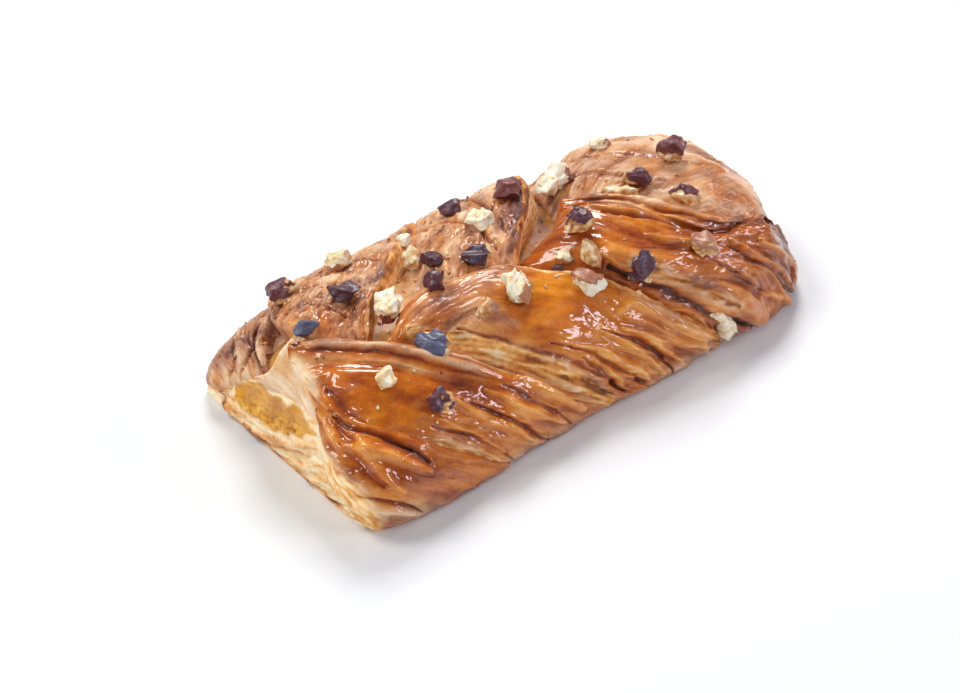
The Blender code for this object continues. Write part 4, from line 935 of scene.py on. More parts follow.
def baked_dough():
    """Dough whose masks say where it is browned, glazed, bare or under run custard."""
    finish, tree, shader = new_finish("laminated_dough_baked_and_glazed")
    mask = {name: add_node(tree, "ShaderNodeAttribute", output="Fac", attribute_name=name)
            for name in MASKS}
    place = add_node(tree, "ShaderNodeTexCoord", output="Object")
    patches, specks, stains = (
        add_node(tree, "ShaderNodeTexNoise", {"Vector": place, "Scale": 1 / (size * MM),
                                              "Detail": detail, "Roughness": rough})
        for size, detail, rough in ((PATCH_SIZE, 5.0, 0.6), (SPECK_SIZE, 4.0, 0.65),
                                    (LEAF_STAIN_SIZE, 4.0, 0.5)))
    # from here the browning also holds painted shade: darkened creases from the masks, and darker
    # low places from the height
    browning = mask["bake"]
    moves = [add_node(tree, "ShaderNodeMath", {0: source, 1: amount, 2: -amount / 2},
                      operation="MULTIPLY_ADD")
             for source, amount in ((patches, PATCH_BROWNING), (specks, SPECK_BROWNING),
                                    (mask["raised"], HOLLOW_SHADE_AND_POOLING))]
    for move in moves:
        browning = add_node(tree, "ShaderNodeMath", {0: browning, 1: move})
    stain = LEAF_STAIN_LEVEL
    for source, amount in ((stains, 0.5), (mask["bake"], -0.9), (mask["streak"], 0.55)):
        stain = add_node(tree, "ShaderNodeMath", {0: source, 1: amount, 2: stain},
                         operation="MULTIPLY_ADD")
    grainy = add_node(tree, "ShaderNodeMath", {0: mask["streak"], 1: 0.4, 2: CUSTARD_LEVEL},
                      operation="MULTIPLY_ADD")
    grainy = add_node(tree, "ShaderNodeMath", {0: grainy, 1: moves[1]})
    dry, glazed, bare, custard = (
        add_node(tree, "ShaderNodeValToRGB", {"Fac": level}, stops)
        for level, stops in ((browning, DRY_DOUGH_WITH_PAINTED_SHEEN), (browning, GLAZED_DOUGH),
                             (stain, BARE_LEAVES), (grainy, RUN_CUSTARD)))
    colour = dry
    for share, over in ((mask["glaze"], glazed), (mask["layers"], bare),
                        (mask["custard"], custard)):
        colour = add_node(tree, "ShaderNodeMix", {0: share, MIX_FIRST: colour, MIX_SECOND: over},
                          output=MIX_RESULT, data_type="RGBA")
    shine = add_node(tree, "ShaderNodeMath",
                     {0: mask["custard"], 1: CUSTARD_SHINE, 2: mask["glaze"]},
                     operation="MULTIPLY_ADD")
    rough = add_node(tree, "ShaderNodeMath", {0: shine, 1: SYRUP_SMOOTHS, 2: 0.62},
                     operation="MULTIPLY_ADD")
    bump = add_node(tree, "ShaderNodeBump", {"Height": specks, "Strength": 0.35,
                                             "Distance": 0.25 * MM})
    feed(shader, {"Base Color": colour, "Coat Weight": shine, "Roughness": rough, "Normal": bump,
                  "IOR": 1.45, "Specular IOR Level": 0.30, "Sheen Weight": 0.10,
                  "Sheen Roughness": 0.4, "Coat Roughness": 0.06, "Coat IOR": 1.5,
                  "Coat Tint": linear("#FFEFC8")})
    return finish


DOUGH = baked_dough()
print("finish", DOUGH.name)

# %% The strips as pieces
CELL = 0.36
made = []
for number, (name, strip) in enumerate(STRIPS.items(), 1):
    made.append(strip_piece(name, strip, CELL, 100 * number, DOUGH))
    print(name, len(made[-1].data.vertices), "points")

# %% [markdown]
# ## The base sheet and the end wall
#
# Under the strips the sheet of dough runs on as a floor and, at the square end, turns up as a
# wall. That wall was never folded: it shows its pale leaves, a band of flakes at the foot and a
# yellow patch where the syrup and the custard ran down. The rings lie close together on that wall
# and far apart where the strips hide them.

# %% Marks and areas of the end wall
#   places on this wall are (y, z) in mm
END_MARKS = [
    Mark([(21, 2.5), (14, 1.2), (6, 1.8), (-4, 6.5), (-13, 12.5)], 1.1, 0.8, 0.14),
    stain([(25, 6), (18, 1.2), (8, 0.6), (-4, 0.7), (-16, 1), (-30, 2)], 0.9, 0.5, layers=-0.6),
    Mark([(16, 3), (8, 3.4), (0, 5), (-7, 7.6), (-14, 11)], 1.5, 0.3, 0.22, layers=-0.3),
    Mark([(12, 17), (2, 18.5), (-8, 19), (-14, 17.5)], 1.8, 0.4, 0.1),
    Mark([(-14, 17), (-16, 13), (-21, 11), (-28, 9)], 2.5, 0.6, -0.1),
    Mark([(-2, 2), (-12, 4.5), (-24, 5)], 1.6, 0.3, 0.16),
    Mark([(26, 9), (27.5, 5)], 3, 0.3, 0.35, layers=-0.6),
    stain([(-20, 4), (-26, 6), (-29, 10)], 3.8, -0.34),
]
#   the upper and the lower line of the patch of syrup, and the line under which the flap folds
SYRUP_Y = (-13.4, -12.2, -6.8, -1.3, 6.3, 11.3, 16.9, 18.0)
SYRUP_TOP = (14.6, 15.3, 16.1, 15.7, 14.9, 13.8, 9.0, 7.0)
SYRUP_FOOT = (14.4, 13.9, 10.4, 7.6, 5.4, 4.9, 4.6, 6.8)
FOLD_Y, FOLD_Z = (1.5, 8.7, 15.1, 20.7, 24.1, 30.0), (22.7, 16.8, 11.8, 7.1, 8.6, 7.0)
FOLD_SLOPE, NOWHERE = 0.78, 99
#   each unevenness of the wall: its length and height in mm, its seed and its amount
WALL_GRAIN = {
    "wander_y": (4, 4, 38, 0.8), "small_wander_y": (1.3, 1.3, 39, 0.3),
    "wander_z": (4, 4, 40, 0.8), "small_wander_z": (1.3, 1.3, 41, 0.3),
    "patches": (11, 2.6, 31, 1), "small_patches": (4, 1.2, 32, 0.7),
    "plates": (4.5, 1.2, 36, 1), "waves": (7, 2, 34, 0.4), "streaks": (7, 1.3, 43, 0.4),
    "syrup_edge": (3, 1, 37, 0.5), "sugar": (2.4, 1.1, 35, 1), "small_sugar": (0.9, 0.6, 42, 1),
    "clouds": (5, 3, 46, 0.25), "crumple": (6, 2.4, 44, 1), "small_crumple": (2.2, 1.2, 45, 0.6),
}
WALL_LEAVES_SEED, WALL_LEAN, LEAF_LEAN = 33, 0.3, 0.15
#   heights in mm
WALL_RISE = {"leaves": 0.2, "plates": 0.4, "sugar": 0.30, "pool": -0.9, "crumple": 0.08,
             "under_the_flap": -1.8, "corner": -1.6}
WALL_BROWN = {"all": 0.06, "patches": 0.30, "plates": 0.06, "roof": 0.55, "side": 0.45,
              "flap": 0.50, "crumple": 0.1}
WALL_BARE, BARE_LEFT_AT_SIDE, SYRUP_COVERS = 0.85, 0.3, 0.8

# %% The base
BASE_INSET, ROUND_END_INSET, BASE_FOOT_INSET = 6.6, 2.5, 1.0
WALL_TOP, ROOF_RINGS = -60.0, 60
ROOF_HOLE, ROOF_BLUR = -50.0, 4.0
SIDE_FROM, SIDE_TO = -62.0, -57.0


def base_piece(cell, finish):
    """The floor and the end wall, as one closed piece that lies just inside the strips."""
    foot, far = SQUARE_FOOT + 0.2, ROUND_FOOT - 0.3
    along = np.concatenate([np.linspace(foot, WALL_TOP, int((WALL_TOP - foot) / cell)),
                            np.linspace(WALL_TOP, far, ROOF_RINGS)[1:]])[:, None]
    around = np.linspace(-HALF_GIRTH, HALF_GIRTH, int(2 * HALF_GIRTH / cell))[None]
    rings = loaf(along, around)
    out = outward(along, around)
    rings[..., 0] *= np.where(rings[..., 0] < 0, 1, 1 - ROUND_END_INSET / HALF_LENGTH)
    rings[..., 1] *= 1 - BASE_FOOT_INSET / HALF_WIDTH
    rings[..., 2] *= 1 - BASE_INSET / HEIGHT
    x, z = rings[..., 0], rings[..., 2]
    y = rings[..., 1] + np.sign(rings[..., 1]) * (x + HALF_LENGTH)
    upright, grain = grains(WALL_GRAIN, y, z), grains(WALL_GRAIN, y, z + WALL_LEAN * y)
    wall_y = y + upright("wander_y", "small_wander_y")
    wall_z = z + upright("wander_z", "small_wander_z")
    masks = {mask: np.zeros(y.shape) for mask in MASKS}
    height = draw_marks(END_MARKS, np.stack([wall_y, wall_z], axis=-1), masks)

    inside = np.minimum(np.interp(wall_y, SYRUP_Y, SYRUP_TOP, 0, 0) - wall_z,
                        wall_z - np.interp(wall_y, SYRUP_Y, SYRUP_FOOT, NOWHERE, NOWHERE))
    syrup = ease(inside + grain("syrup_edge"), -0.5, 0.5)
    above = (wall_z - np.interp(wall_y, FOLD_Y, FOLD_Z, NOWHERE, FOLD_Z[-1])) * FOLD_SLOPE
    flap = ease(above, -0.3, 0.6)
    clean = 1 - SYRUP_COVERS * syrup
    dry = clean * (1 - flap)
    patches, plates = grain("patches", "small_patches"), grain("plates", kind=flakes)
    leaves = laminations(z + LEAF_LEAN * y, y, WALL_LEAVES_SEED)
    sugar = (0.25 + 0.75 * ease(z + WALL_LEAN * y, 12.0, 9.0)) * grain("sugar", "small_sugar")
    crumpled = grain("crumple", "small_crumple", kind=folded, first=y + z)
    height += dry * (WALL_RISE["leaves"] * leaves + WALL_RISE["plates"] * plates + grain("waves"))
    height += syrup * (WALL_RISE["sugar"] * sugar + WALL_RISE["pool"] * ease(inside, 0.0, 3.0))
    height += WALL_RISE["under_the_flap"] * ease(above, -6.0, 0.0)
    height += flap * (WALL_RISE["crumple"] * crumpled + WALL_RISE["corner"] * ease(y, 9.0, 14.0))
    fade = ease(z, 0.0, 1.2) * ease(z, 20.5, 17.0)

    roof = ease(z, 18.0, 21.0) * ease(x, ROOF_HOLE - ROOF_BLUR, ROOF_HOLE + ROOF_BLUR)
    side = ease(x, SIDE_FROM, SIDE_TO)
    brown = np.maximum(np.maximum(WALL_BROWN["roof"] * roof, WALL_BROWN["side"] * side),
                       flap * (WALL_BROWN["flap"] + WALL_BROWN["crumple"] * crumpled))
    masks["bake"] = (masks["bake"] + WALL_BROWN["all"] + brown + dry * (
        WALL_BROWN["patches"] * patches + WALL_BROWN["plates"] * plates)).clip(0, 1)
    masks["layers"] = ((masks["layers"] + WALL_BARE) * (1 - syrup) * (1 - roof) * (1 - flap)
                       * (1 - (1 - BARE_LEFT_AT_SIDE) * side)).clip(0, 1)
    masks["custard"], masks["raised"] = syrup, masks["raised"] + 0.5
    masks["streak"] = (0.5 + clean * (0.25 * leaves + grain("streaks"))
                       + syrup * (0.4 * sugar + grain("clouds"))).clip(0, 1)
    rings = rings + sheet_normals(rings, out) * (height * fade)[..., None]
    rings[..., 2] = rings[..., 2].clip(0)
    return loft("base", rings, masks, finish)


made.append(base_piece(CELL, DOUGH))
print("base", len(made[-1].data.vertices), "points")

for piece in made:
    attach(piece, "root")
    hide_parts("pastry")

# %% [markdown]
# ## The filling
#
# Maple custard, boiled thick and spread along the sheet before it was folded. It shows between the
# far strips as a smooth, moist body, soft where it meets the dough. It is one rounded bar with low
# swellings, under a clouded amber finish that is moist and hardly glossy.

# %% The custard's finish
CUSTARD_CLOUD_SIZE = 3.0


def maple_custard():
    """Cooked custard: clouded amber, moist and hardly glossy."""
    finish, tree, shader = new_finish("maple_custard_boiled")
    place = add_node(tree, "ShaderNodeTexCoord", output="Object")
    clouds = add_node(tree, "ShaderNodeTexNoise", {
        "Vector": place, "Scale": 1 / (CUSTARD_CLOUD_SIZE * MM), "Detail": 6.0})
    colour = add_node(tree, "ShaderNodeValToRGB", {"Fac": clouds}, [
        (0.3, "#945A26"), (0.5, "#B87C38"), (0.7, "#D8A45C")])
    feed(shader, {"Base Color": colour, "Roughness": 0.5, "IOR": 1.42, "Coat Weight": 0.1,
                  "Coat Roughness": 0.15})
    return finish


# %% The filling bar
FILLING_HALF_LENGTH, FILLING_HALF_WIDTH = 60.6, 13.0
FILLING_BOTTOM, FILLING_COVER = 9.0, 4.6
FILLING_POWER, FILLING_END_POWER, FILLING_END_DROP, FILLING_POLE = 2.6, 7.0, 0.3, 0.1
FILLING_DIP_AT, FILLING_DIP_WIDTH, FILLING_DIP = 8.0, 9.0, 2.4
FILLING_RINGS, FILLING_SIDES, LUMPS_ABOVE = 220, 140, 0.2
#   each swelling: its length and width in mm, its seed and its height in mm
FILLING_GRAIN = {"lumps": (6, 6, 61, 0.35), "small_lumps": (1.6, 1.6, 62, 0.1)}


def filling_piece(finish):
    """The bar of custard under the strips."""
    pole = np.linspace(FILLING_POLE, math.pi - FILLING_POLE, FILLING_RINGS)[:, None]
    along = -FILLING_HALF_LENGTH * np.cos(pole)
    end = (1 - np.abs(along / FILLING_HALF_LENGTH) ** FILLING_END_POWER) ** (1 / FILLING_END_POWER)
    dip = FILLING_DIP * hump(along, FILLING_DIP_AT, FILLING_DIP_WIDTH)
    top = np.interp(along, RIDGE_X, RIDGE_Z) - FILLING_COVER - dip
    angle = np.linspace(0, 2 * math.pi, FILLING_SIDES + 1)[None, :-1]
    across, up = (np.sign(part) * np.abs(part) ** (2 / FILLING_POWER)
                  for part in (np.cos(angle), np.sin(angle)))
    grain = grains(FILLING_GRAIN, along + 0 * angle, FILLING_HALF_WIDTH * angle + 0 * along)
    lumps_on_top = grain("lumps", "small_lumps") * (np.sin(angle) > LUMPS_ABOVE)
    half_height = (top - FILLING_BOTTOM) / 2 * end**FILLING_END_DROP
    rings = np.stack([along + 0 * angle, FILLING_HALF_WIDTH * end * across,
                      (top + FILLING_BOTTOM) / 2 + half_height * up + lumps_on_top * end], axis=-1)
    return loft("custard", rings, {}, finish)


custard = filling_piece(maple_custard())
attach(custard, "root")
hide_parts("filling")
print("custard", len(custard.data.vertices), "points")

# %% [markdown]
# ## The chopped pecans
#
# A pecan half has a thin, dark skin over cream flesh. Chopping breaks it into pieces with flat,
# rough faces: most show skin on one side and flesh on the rest. Each piece starts as a rounded
# block of the plain solid's size, is flattened by the same breaks, and then gets what a break
# leaves: a grain on the flesh, wrinkles on the skin. The side with the skin is given as it is
# seen in the photograph, to the right, up and towards the eye.

# %% The camera's directions
CAMERA_TURN, CAMERA_RISE = math.radians(-39.55), math.radians(39.66)
CAMERA_DISTANCE, CAMERA_TARGET = 565.1, np.array([-17.148, -8.21, 12.0])
TOWARDS_EYE = np.array([math.sin(CAMERA_TURN) * math.cos(CAMERA_RISE),
                        -math.cos(CAMERA_TURN) * math.cos(CAMERA_RISE), math.sin(CAMERA_RISE)])
TO_THE_RIGHT = np.cross([0, 0, 1.0], TOWARDS_EYE)
TO_THE_RIGHT = TO_THE_RIGHT / np.linalg.norm(TO_THE_RIGHT)
UP_THE_PICTURE = np.cross(TOWARDS_EYE, TO_THE_RIGHT)


# %% The nuts
class Nut:
    """One piece: where it lies, its size, how it is turned, the form it broke into, and its skin:
    how dark that is, the side it is on as (right, up, towards the eye), and how far it reaches.
    toast is how brown its flesh is."""

    def __init__(self, along, around, size, turn, form, skin_tone, side, cover, toast=0.3):
        self.along, self.around, self.size, self.turn, self.form = along, around, size, turn, form
        self.skin_tone, self.side, self.cover, self.toast = skin_tone, side, cover, toast


NUTS = [
    Nut(-48.4, 17.8, (7.6, 7.0, 5.4), -20, "chunk", 0.75, (-0.4, 0.2, 0.6), 0.35, 0.5),
    Nut(-34.5, 17.1, (7.2, 5.6, 5.0), -40, "cup", 0.3, (0, -1, 0), 0.5, 0.2),
    Nut(-41.6, 5.3, (7.2, 5.4, 5.0), -45, "wedge", 0.85, (0, 0.2, 1), -0.6, 0.5),
    Nut(-53.4, 3.8, (5.6, 4.2, 3.6), -20, "wedge", 1.1, (0, 0.2, 1), -0.8, 0.4),
    Nut(-37.8, -3.8, (8.6, 7.4, 6.6), -40, "chunk", 0.6, (0, -1, -0.2), 0.6, 0.16),
    Nut(-18.1, 16.1, (4.4, 4.0, 3.6), 0, "chunk", 0.3, (0, -1, 0), 0.9, 0.05),
    Nut(-21.7, 9.5, (5.8, 5.4, 5.4), 50, "chunk", 0.3, (1, 0, 0), 0.6, 0.35),
    Nut(-19.5, 4.4, (4.4, 4.2, 4.2), 0, "chunk", 0.85, (0, 0.3, 1), -0.3, 0.4),
    Nut(-27, -5.3, (5.2, 5.0, 4.8), 10, "chunk", 0.8, (0, 0.3, 1), -0.7, 0.4),
    Nut(-4.2, 17.3, (7.0, 4.8, 4.0), -40, "chunk", 0.85, (0, 0.5, 0.6), -0.5, 0.5),
    Nut(-5.4, 5.8, (8.6, 6.8, 4.2), 60, "forked", 0.3, (-0.6, -1, 0), 0.65, 0.16),
    Nut(-13.6, -2.3, (8.4, 6.4, 3.6), -40, "forked", 0.9, (-0.3, 0.5, 0.8), -0.1, 0.5),
    Nut(6.9, 11.1, (8.6, 6.8, 5.0), -40, "chunk", 0.6, (0, 0.6, 0.8), -0.6, 0.5),
    Nut(18.8, 10.2, (12.6, 8.4, 8.6), 28, "lobed", 0.6, (1, -0.4, 0), 0.62, 0.08),
    Nut(37.6, 16.2, (5.8, 4.6, 4.2), -30, "chunk", 0.3, (1, 0.2, 0), 0.7, 0.1),
    Nut(44.6, 0.5, (7.4, 7.4, 6.4), 10, "chunk", 0.7, (0, 0.8, 0.5), 0.1, 0.6),
    Nut(32.4, -2.2, (7.4, 4.8, 4.6), -40, "chunk", 0.8, (1, 0.2, 0.5), -0.1, 0.6),
    Nut(25.6, -4.4, (8.6, 4.6, 4.8), -50, "lobed", 0.2, (0, -1, 0), 0.9, 0.5),
    Nut(38.6, -11.7, (8.4, 5.0, 4.2), -35, "chunk", 0.75, (0, 1, 0.3), 0.3, 0.35),
    Nut(8.6, -9.2, (7.2, 6.4, 6.0), -10, "chunk", 0.8, (-0.4, 1, 0.5), 0.2, 0.55),
    Nut(6.4, -15.6, (8.2, 4.8, 4.0), 79, "chunk", 0.2, (1, 0, 0), 0.9, 0.5),
    Nut(3.0, -12.0, (4.8, 3.6, 2.4), -40, "shard", 0.2, (0, -1, 0), 0.9, 0.0),
    Nut(0.6, -14.0, (4.8, 3.2, 2.6), -40, "chunk", 0.85, (0, 0, 1), -0.6, 0.4),
    Nut(14.8, -23.2, (8.6, 7.2, 5.0), 20, "chunk", 0.9, (-0.5, 0.3, 0.7), 0.1, 0.5),
    Nut(30.1, -24.2, (7.6, 6.8, 4.8), -40, "chunk", 0.25, (0, 0.8, 0.7), 0.1, 0.4),
    Nut(2.4, -20.6, (8.8, 6.8, 4.8), -40, "chunk", 0.3, (0, 1, 0.4), 0.3, 0.05),
    Nut(-12.9, -14.1, (9.4, 7.2, 5.4), 55, "forked", 0.2, (0.8, -0.6, 0), 0.45, 0.14),
    Nut(-22.3, -15.9, (5.6, 5.2, 4.4), 0, "chunk", 0.25, (0.5, 0.3, 0), 0.5, 0.6),
    Nut(-36, -16.5, (8.8, 6.4, 4.8), -40, "forked", 1.1, (-0.5, 0.2, 0.8), 0.05, 0.45),
    Nut(-50, -17.8, (5.4, 4.8, 4.4), 0, "chunk", 0.2, (0, -1, 0), 0.9, 0.25),
    Nut(-41.9, -26.8, (6.4, 5.8, 4.4), -10, "cup", 0.8, (0, 0.3, 1), 0.35, 0.6),
    Nut(31.2, -41.4, (11.2, 5.2, 4.6), -60, "lobed", 0.3, (-0.5, 0.5, 0), 0.6, 0.1),
]

# %% How a nut broke
NUT_SQUARENESS = 0.78
NUT_BREAKS, FORMED_NUT_BREAKS, NUT_BREAK, BREAK_STEEPNESS = 8, 3, (0.62, 0.86), 0.8
NUT_CHIPS, NUT_CHIP = 18, (0.74, 0.92)
NUT_SUNK = 0.5
NUT_FINENESS = 5
CUP_RADIUS, CUP_DEPTH = 0.22**0.5, 0.75


def ball_of(fineness):
    """The points and faces of a ball of radius 1."""
    ball = bmesh.new()
    bmesh.ops.create_icosphere(ball, subdivisions=fineness, radius=1.0)
    points = np.array([v.co for v in ball.verts])
    faces = [tuple(v.index for v in f.verts) for f in ball.faces]
    ball.free()
    return points, faces


def formed(form, x, y, z):
    """A block of nut from -1 to 1 each way, pushed into the form that it broke into."""
    if form == "lobed":
        waist = (0.9 + 0.12 * x) * (1 - 0.4 * hump(x, -0.15, 0.3))
        return x, y * waist, z * waist
    if form == "forked":
        return x * (1 - 0.5 * hump(y, 0, 0.3) * (x > 0)), y, z * (1 - 0.35 * hump(y, 0.1, 0.28))
    if form == "wedge":
        return x, y * (0.8 - 0.2 * x), z * (0.62 - 0.38 * x)
    if form == "cup":
        return x, y, z - CUP_DEPTH * hump(np.hypot(x, y), 0, CUP_RADIUS) * (z > 0)
    if form == "shard":
        x = x * (1 + 0.3 * np.sin(7 * y))
        return x, y, z * (0.6 + 0.5 * np.cos(5 * x))
    return x, y, z


def broken_form(nut, number):
    """The points of a broken nut round its own middle, and the faces between them."""
    sphere, faces = ball_of(NUT_FINENESS)
    block = np.sign(sphere) * np.abs(sphere) ** NUT_SQUARENESS
    points = np.stack(formed(nut.form, *block.T), axis=-1) * np.array(nut.size) / 2
    draw = random.Random(number)
    breaks = NUT_BREAKS if nut.form == "chunk" else FORMED_NUT_BREAKS
    for count, depth, steepness in ((breaks, NUT_BREAK, BREAK_STEEPNESS), (NUT_CHIPS, NUT_CHIP, 1)):
        for _ in range(count):
            side = np.array([draw.gauss(0, 1), draw.gauss(0, 1), draw.gauss(0, steepness)])
            side = side / np.linalg.norm(side)
            reach = points @ side
            cut = draw.uniform(*depth) * reach.max()
            points = points - np.maximum(reach - cut, 0)[:, None] * side
    return points, faces


def nut_directions(nut):
    """The nut's own length, width and upward directions in space."""
    above = outward(np.array(nut.along), np.array(nut.around))
    east = loaf(nut.along + 1.0, nut.around) - loaf(nut.along - 1.0, nut.around)
    east = east - above * (east @ above)
    east = east / np.linalg.norm(east)
    far = np.cross(above, east)
    turn = math.radians(nut.turn)
    length_way = east * math.cos(turn) + far * math.sin(turn)
    return np.stack([length_way, np.cross(above, length_way), above])


# %% [markdown]
# ## Pecan skin and flesh
#
# The skin is a papery brown layer with tannin in it: nearly black-purple where it is thick, with
# a soft satin sheen. The flesh is oily and pale, and toasts to tan. The material mixes the two by
# the skin mask, and a fine grain breaks the edge between them.

# %% Pecan
PECAN_GRAIN_SIZE = 0.9
PECAN_SKIN = [(0.1, "#BC8660"), (0.4, "#96563F"), (0.62, "#763A3A"), (0.8, "#572833"),
              (0.93, "#44222F"), (1.0, "#50506A")]
PECAN_FLESH = [(0.0, "#F4EAD2"), (0.3, "#E9D2A4"), (0.55, "#D9A96E"), (0.85, "#B5763F")]
SKIN_BLOTCHES, FLESH_BLOTCHES, TAN_NEAR_SKIN = 0.4, 1.5, 0.9


def pecan():
    """Pale flesh and dark skin, mixed by the skin mask."""
    finish, tree, shader = new_finish("pecan_chopped_and_toasted")
    skin, tone, toast = (add_node(tree, "ShaderNodeAttribute", output="Fac", attribute_name=name)
                         for name in ("skin", "tone", "toast"))
    place = add_node(tree, "ShaderNodeTexCoord", output="Object")
    grain = add_node(tree, "ShaderNodeTexNoise", {
        "Vector": place, "Scale": 1 / (PECAN_GRAIN_SIZE * MM), "Detail": 5.0, "Roughness": 0.6})
    shade, warmth = (
        add_node(tree, "ShaderNodeMath", {
            0: level, 1: add_node(tree, "ShaderNodeMath", {0: grain, 1: amount, 2: -amount / 2},
                                  operation="MULTIPLY_ADD")})
        for level, amount in ((tone, SKIN_BLOTCHES), (toast, FLESH_BLOTCHES)))
    warmth = add_node(tree, "ShaderNodeMath", {0: skin, 1: TAN_NEAR_SKIN, 2: warmth},
                      operation="MULTIPLY_ADD")
    rim = add_node(tree, "ShaderNodeMapRange", {"Value": skin, "From Min": 0.4, "From Max": 0.6},
                   interpolation_type="SMOOTHSTEP")
    dark = add_node(tree, "ShaderNodeValToRGB", {"Fac": shade}, PECAN_SKIN)
    pale = add_node(tree, "ShaderNodeValToRGB", {"Fac": warmth}, PECAN_FLESH)
    colour = add_node(tree, "ShaderNodeMix", {0: rim, MIX_FIRST: pale, MIX_SECOND: dark},
                      output=MIX_RESULT, data_type="RGBA")
    bump = add_node(tree, "ShaderNodeBump", {"Height": grain, "Strength": 0.5,
                                             "Distance": 0.3 * MM})
    feed(shader, {"Base Color": colour, "Normal": bump, "Roughness": 0.42, "IOR": 1.47,
                  "Coat Weight": 0.25, "Coat Roughness": 0.2})
    return finish


PECAN = pecan()

# %% The nut pieces
#   each swelling of a nut: its size in mm, and what it adds to the nut's own number as a seed
NUT_BEND_SIZE, NUT_BEND, NUT_BEND_SEEDS = 2.4, 0.17, (20, 40, 60)
SKIN_EDGES = ((1.9, 0, 0.55), (0.8, 30, 0.3))
SKIN_EDGE_FROM, SKIN_EDGE_TO = -0.16, 0.12
GRAIN_SIZE, GRAIN_SEED, TOAST_SIZE, TOAST_SEED = 0.8, 50, 1.6, 70
WRINKLE_SIZE, WRINKLE_SEED, WRINKLE_STRETCH = 1.3, 90, (0.5, 1.6, 1.0)


def solid_swell(points, size, seed):
    """Soft swellings in space, between about -1 and 1."""
    shift = Vector((seed * 7.7, seed * 3.1, seed * 5.3))
    return np.array([solid_noise.noise(Vector(p) / size + shift) for p in points])


def nut_piece(number, nut):
    """A fine nut in the place and at the size of its plain solid."""
    points, faces = broken_form(nut, number)
    points = points + NUT_BEND * min(nut.size) * np.stack(
        [solid_swell(points, NUT_BEND_SIZE, number + seed) for seed in NUT_BEND_SEEDS], axis=-1)
    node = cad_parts[f"nut_{number:02d}"]
    ways = nut_directions(nut)
    solid = (np.array([v.co for v in node.data.vertices]) / MM + FINISHED_MIDDLE) @ ways.T
    low, high = solid.min(axis=0), solid.max(axis=0)
    low[2] -= NUT_SUNK
    own_low, own_high = points.min(axis=0), points.max(axis=0)
    points = low + (points - own_low) / (own_high - own_low) * (high - low)
    middle = (low + high) / 2
    side = nut.side @ np.stack([TO_THE_RIGHT, UP_THE_PICTURE, TOWARDS_EYE])
    side = ways @ (side / np.linalg.norm(side))
    edge = ((points - middle) / ((high - low) / 2)) @ side - nut.cover
    for size, seed, amount in SKIN_EDGES:
        edge = edge + amount * solid_swell(points, size, number + seed)
    skin = ease(edge, SKIN_EDGE_FROM, SKIN_EDGE_TO)
    grain = solid_swell(points, GRAIN_SIZE, number + GRAIN_SEED)
    wrinkle = solid_swell(points * WRINKLE_STRETCH, WRINKLE_SIZE, number + WRINKLE_SEED)
    out = (points - middle) / np.linalg.norm(points - middle, axis=-1, keepdims=True)
    lift = (1 - skin) * (0.20 * grain + 0.16 * wrinkle - 0.12) + skin * (0.05 + 0.34 * wrinkle)
    points = (points + out * lift[:, None]) @ ways
    masks = {"skin": skin, "tone": nut.skin_tone + 0.12 * wrinkle,
             "toast": nut.toast + 0.6 * solid_swell(points, TOAST_SIZE, number + TOAST_SEED)}
    piece = add_piece(f"pecan_{number:02d}", points, faces, masks, PECAN)
    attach(piece, "root")
    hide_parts(f"nut_{number:02d}")
    return piece


pecans = [nut_piece(number, nut) for number, nut in enumerate(NUTS, 1)]
print(len(pecans), "pecans of", len(pecans[0].data.vertices), "points")

# %% [markdown]
# ## Flakes and crumbs
#
# Puff pastry sheds its outer leaves, and chopping nuts makes crumbs. The flakes lie anywhere on the
# loaf, more of them on its far side, and the crumbs beside the nuts. Each kind is one mesh of many
# small closed bodies, set down on the finished surface with a ray from outside, so that none of
# them floats.

# %% Where things fall
def triangles_of(pieces):
    """The points and faces of some pieces, together, in metres."""
    points, faces = [], []
    for piece in pieces:
        first = len(points)
        points += [v.co.copy() for v in piece.data.vertices]
        faces += [[first + index for index in face.vertices] for face in piece.data.polygons]
    return points, faces


GROUND = BVHTree.FromPolygons(*triangles_of(made + [custard]))
DROP_FROM = 14.0


def landing(along, around):
    """Where something dropped on the loaf comes to rest, and the way out of the dough there."""
    along, around = np.array(float(along)), np.array(float(around))
    out = outward(along, around)
    start = loaf(along, around) + DROP_FROM * out - FINISHED_MIDDLE
    spot, normal, _, _ = GROUND.ray_cast(Vector(start * MM), Vector(-out))
    if spot is None:
        return None, None
    return np.array(spot) / MM + FINISHED_MIDDLE, np.array(normal)


def frame_on(normal, turn):
    """Three directions for something that lies on a surface: two along it and one out of it."""
    side = np.cross(normal, [math.cos(turn), math.sin(turn), 0.3])
    side = side / np.linalg.norm(side)
    return np.stack([side, np.cross(normal, side), normal])


# %% A flake and a crumb
FLAKE_CORNERS, FLAKE_THICKNESS, FLAKE_SUNK = 7, 0.16, 0.03
FLAKE_REACH, FLAKE_NARROW, FLAKE_CURL = (0.55, 1.0), 0.6, (-0.3, 0.5)
FLAKE_SIZE, CRUMB_SIZE = (0.6, 1.9), (0.5, 1.5)
CRUMB_STRETCH, CRUMB_UNEVEN, CRUMB_LIFT = ((0.6, 1.0), (0.45, 0.9), (0.4, 0.7)), (0.75, 1.2), 0.12


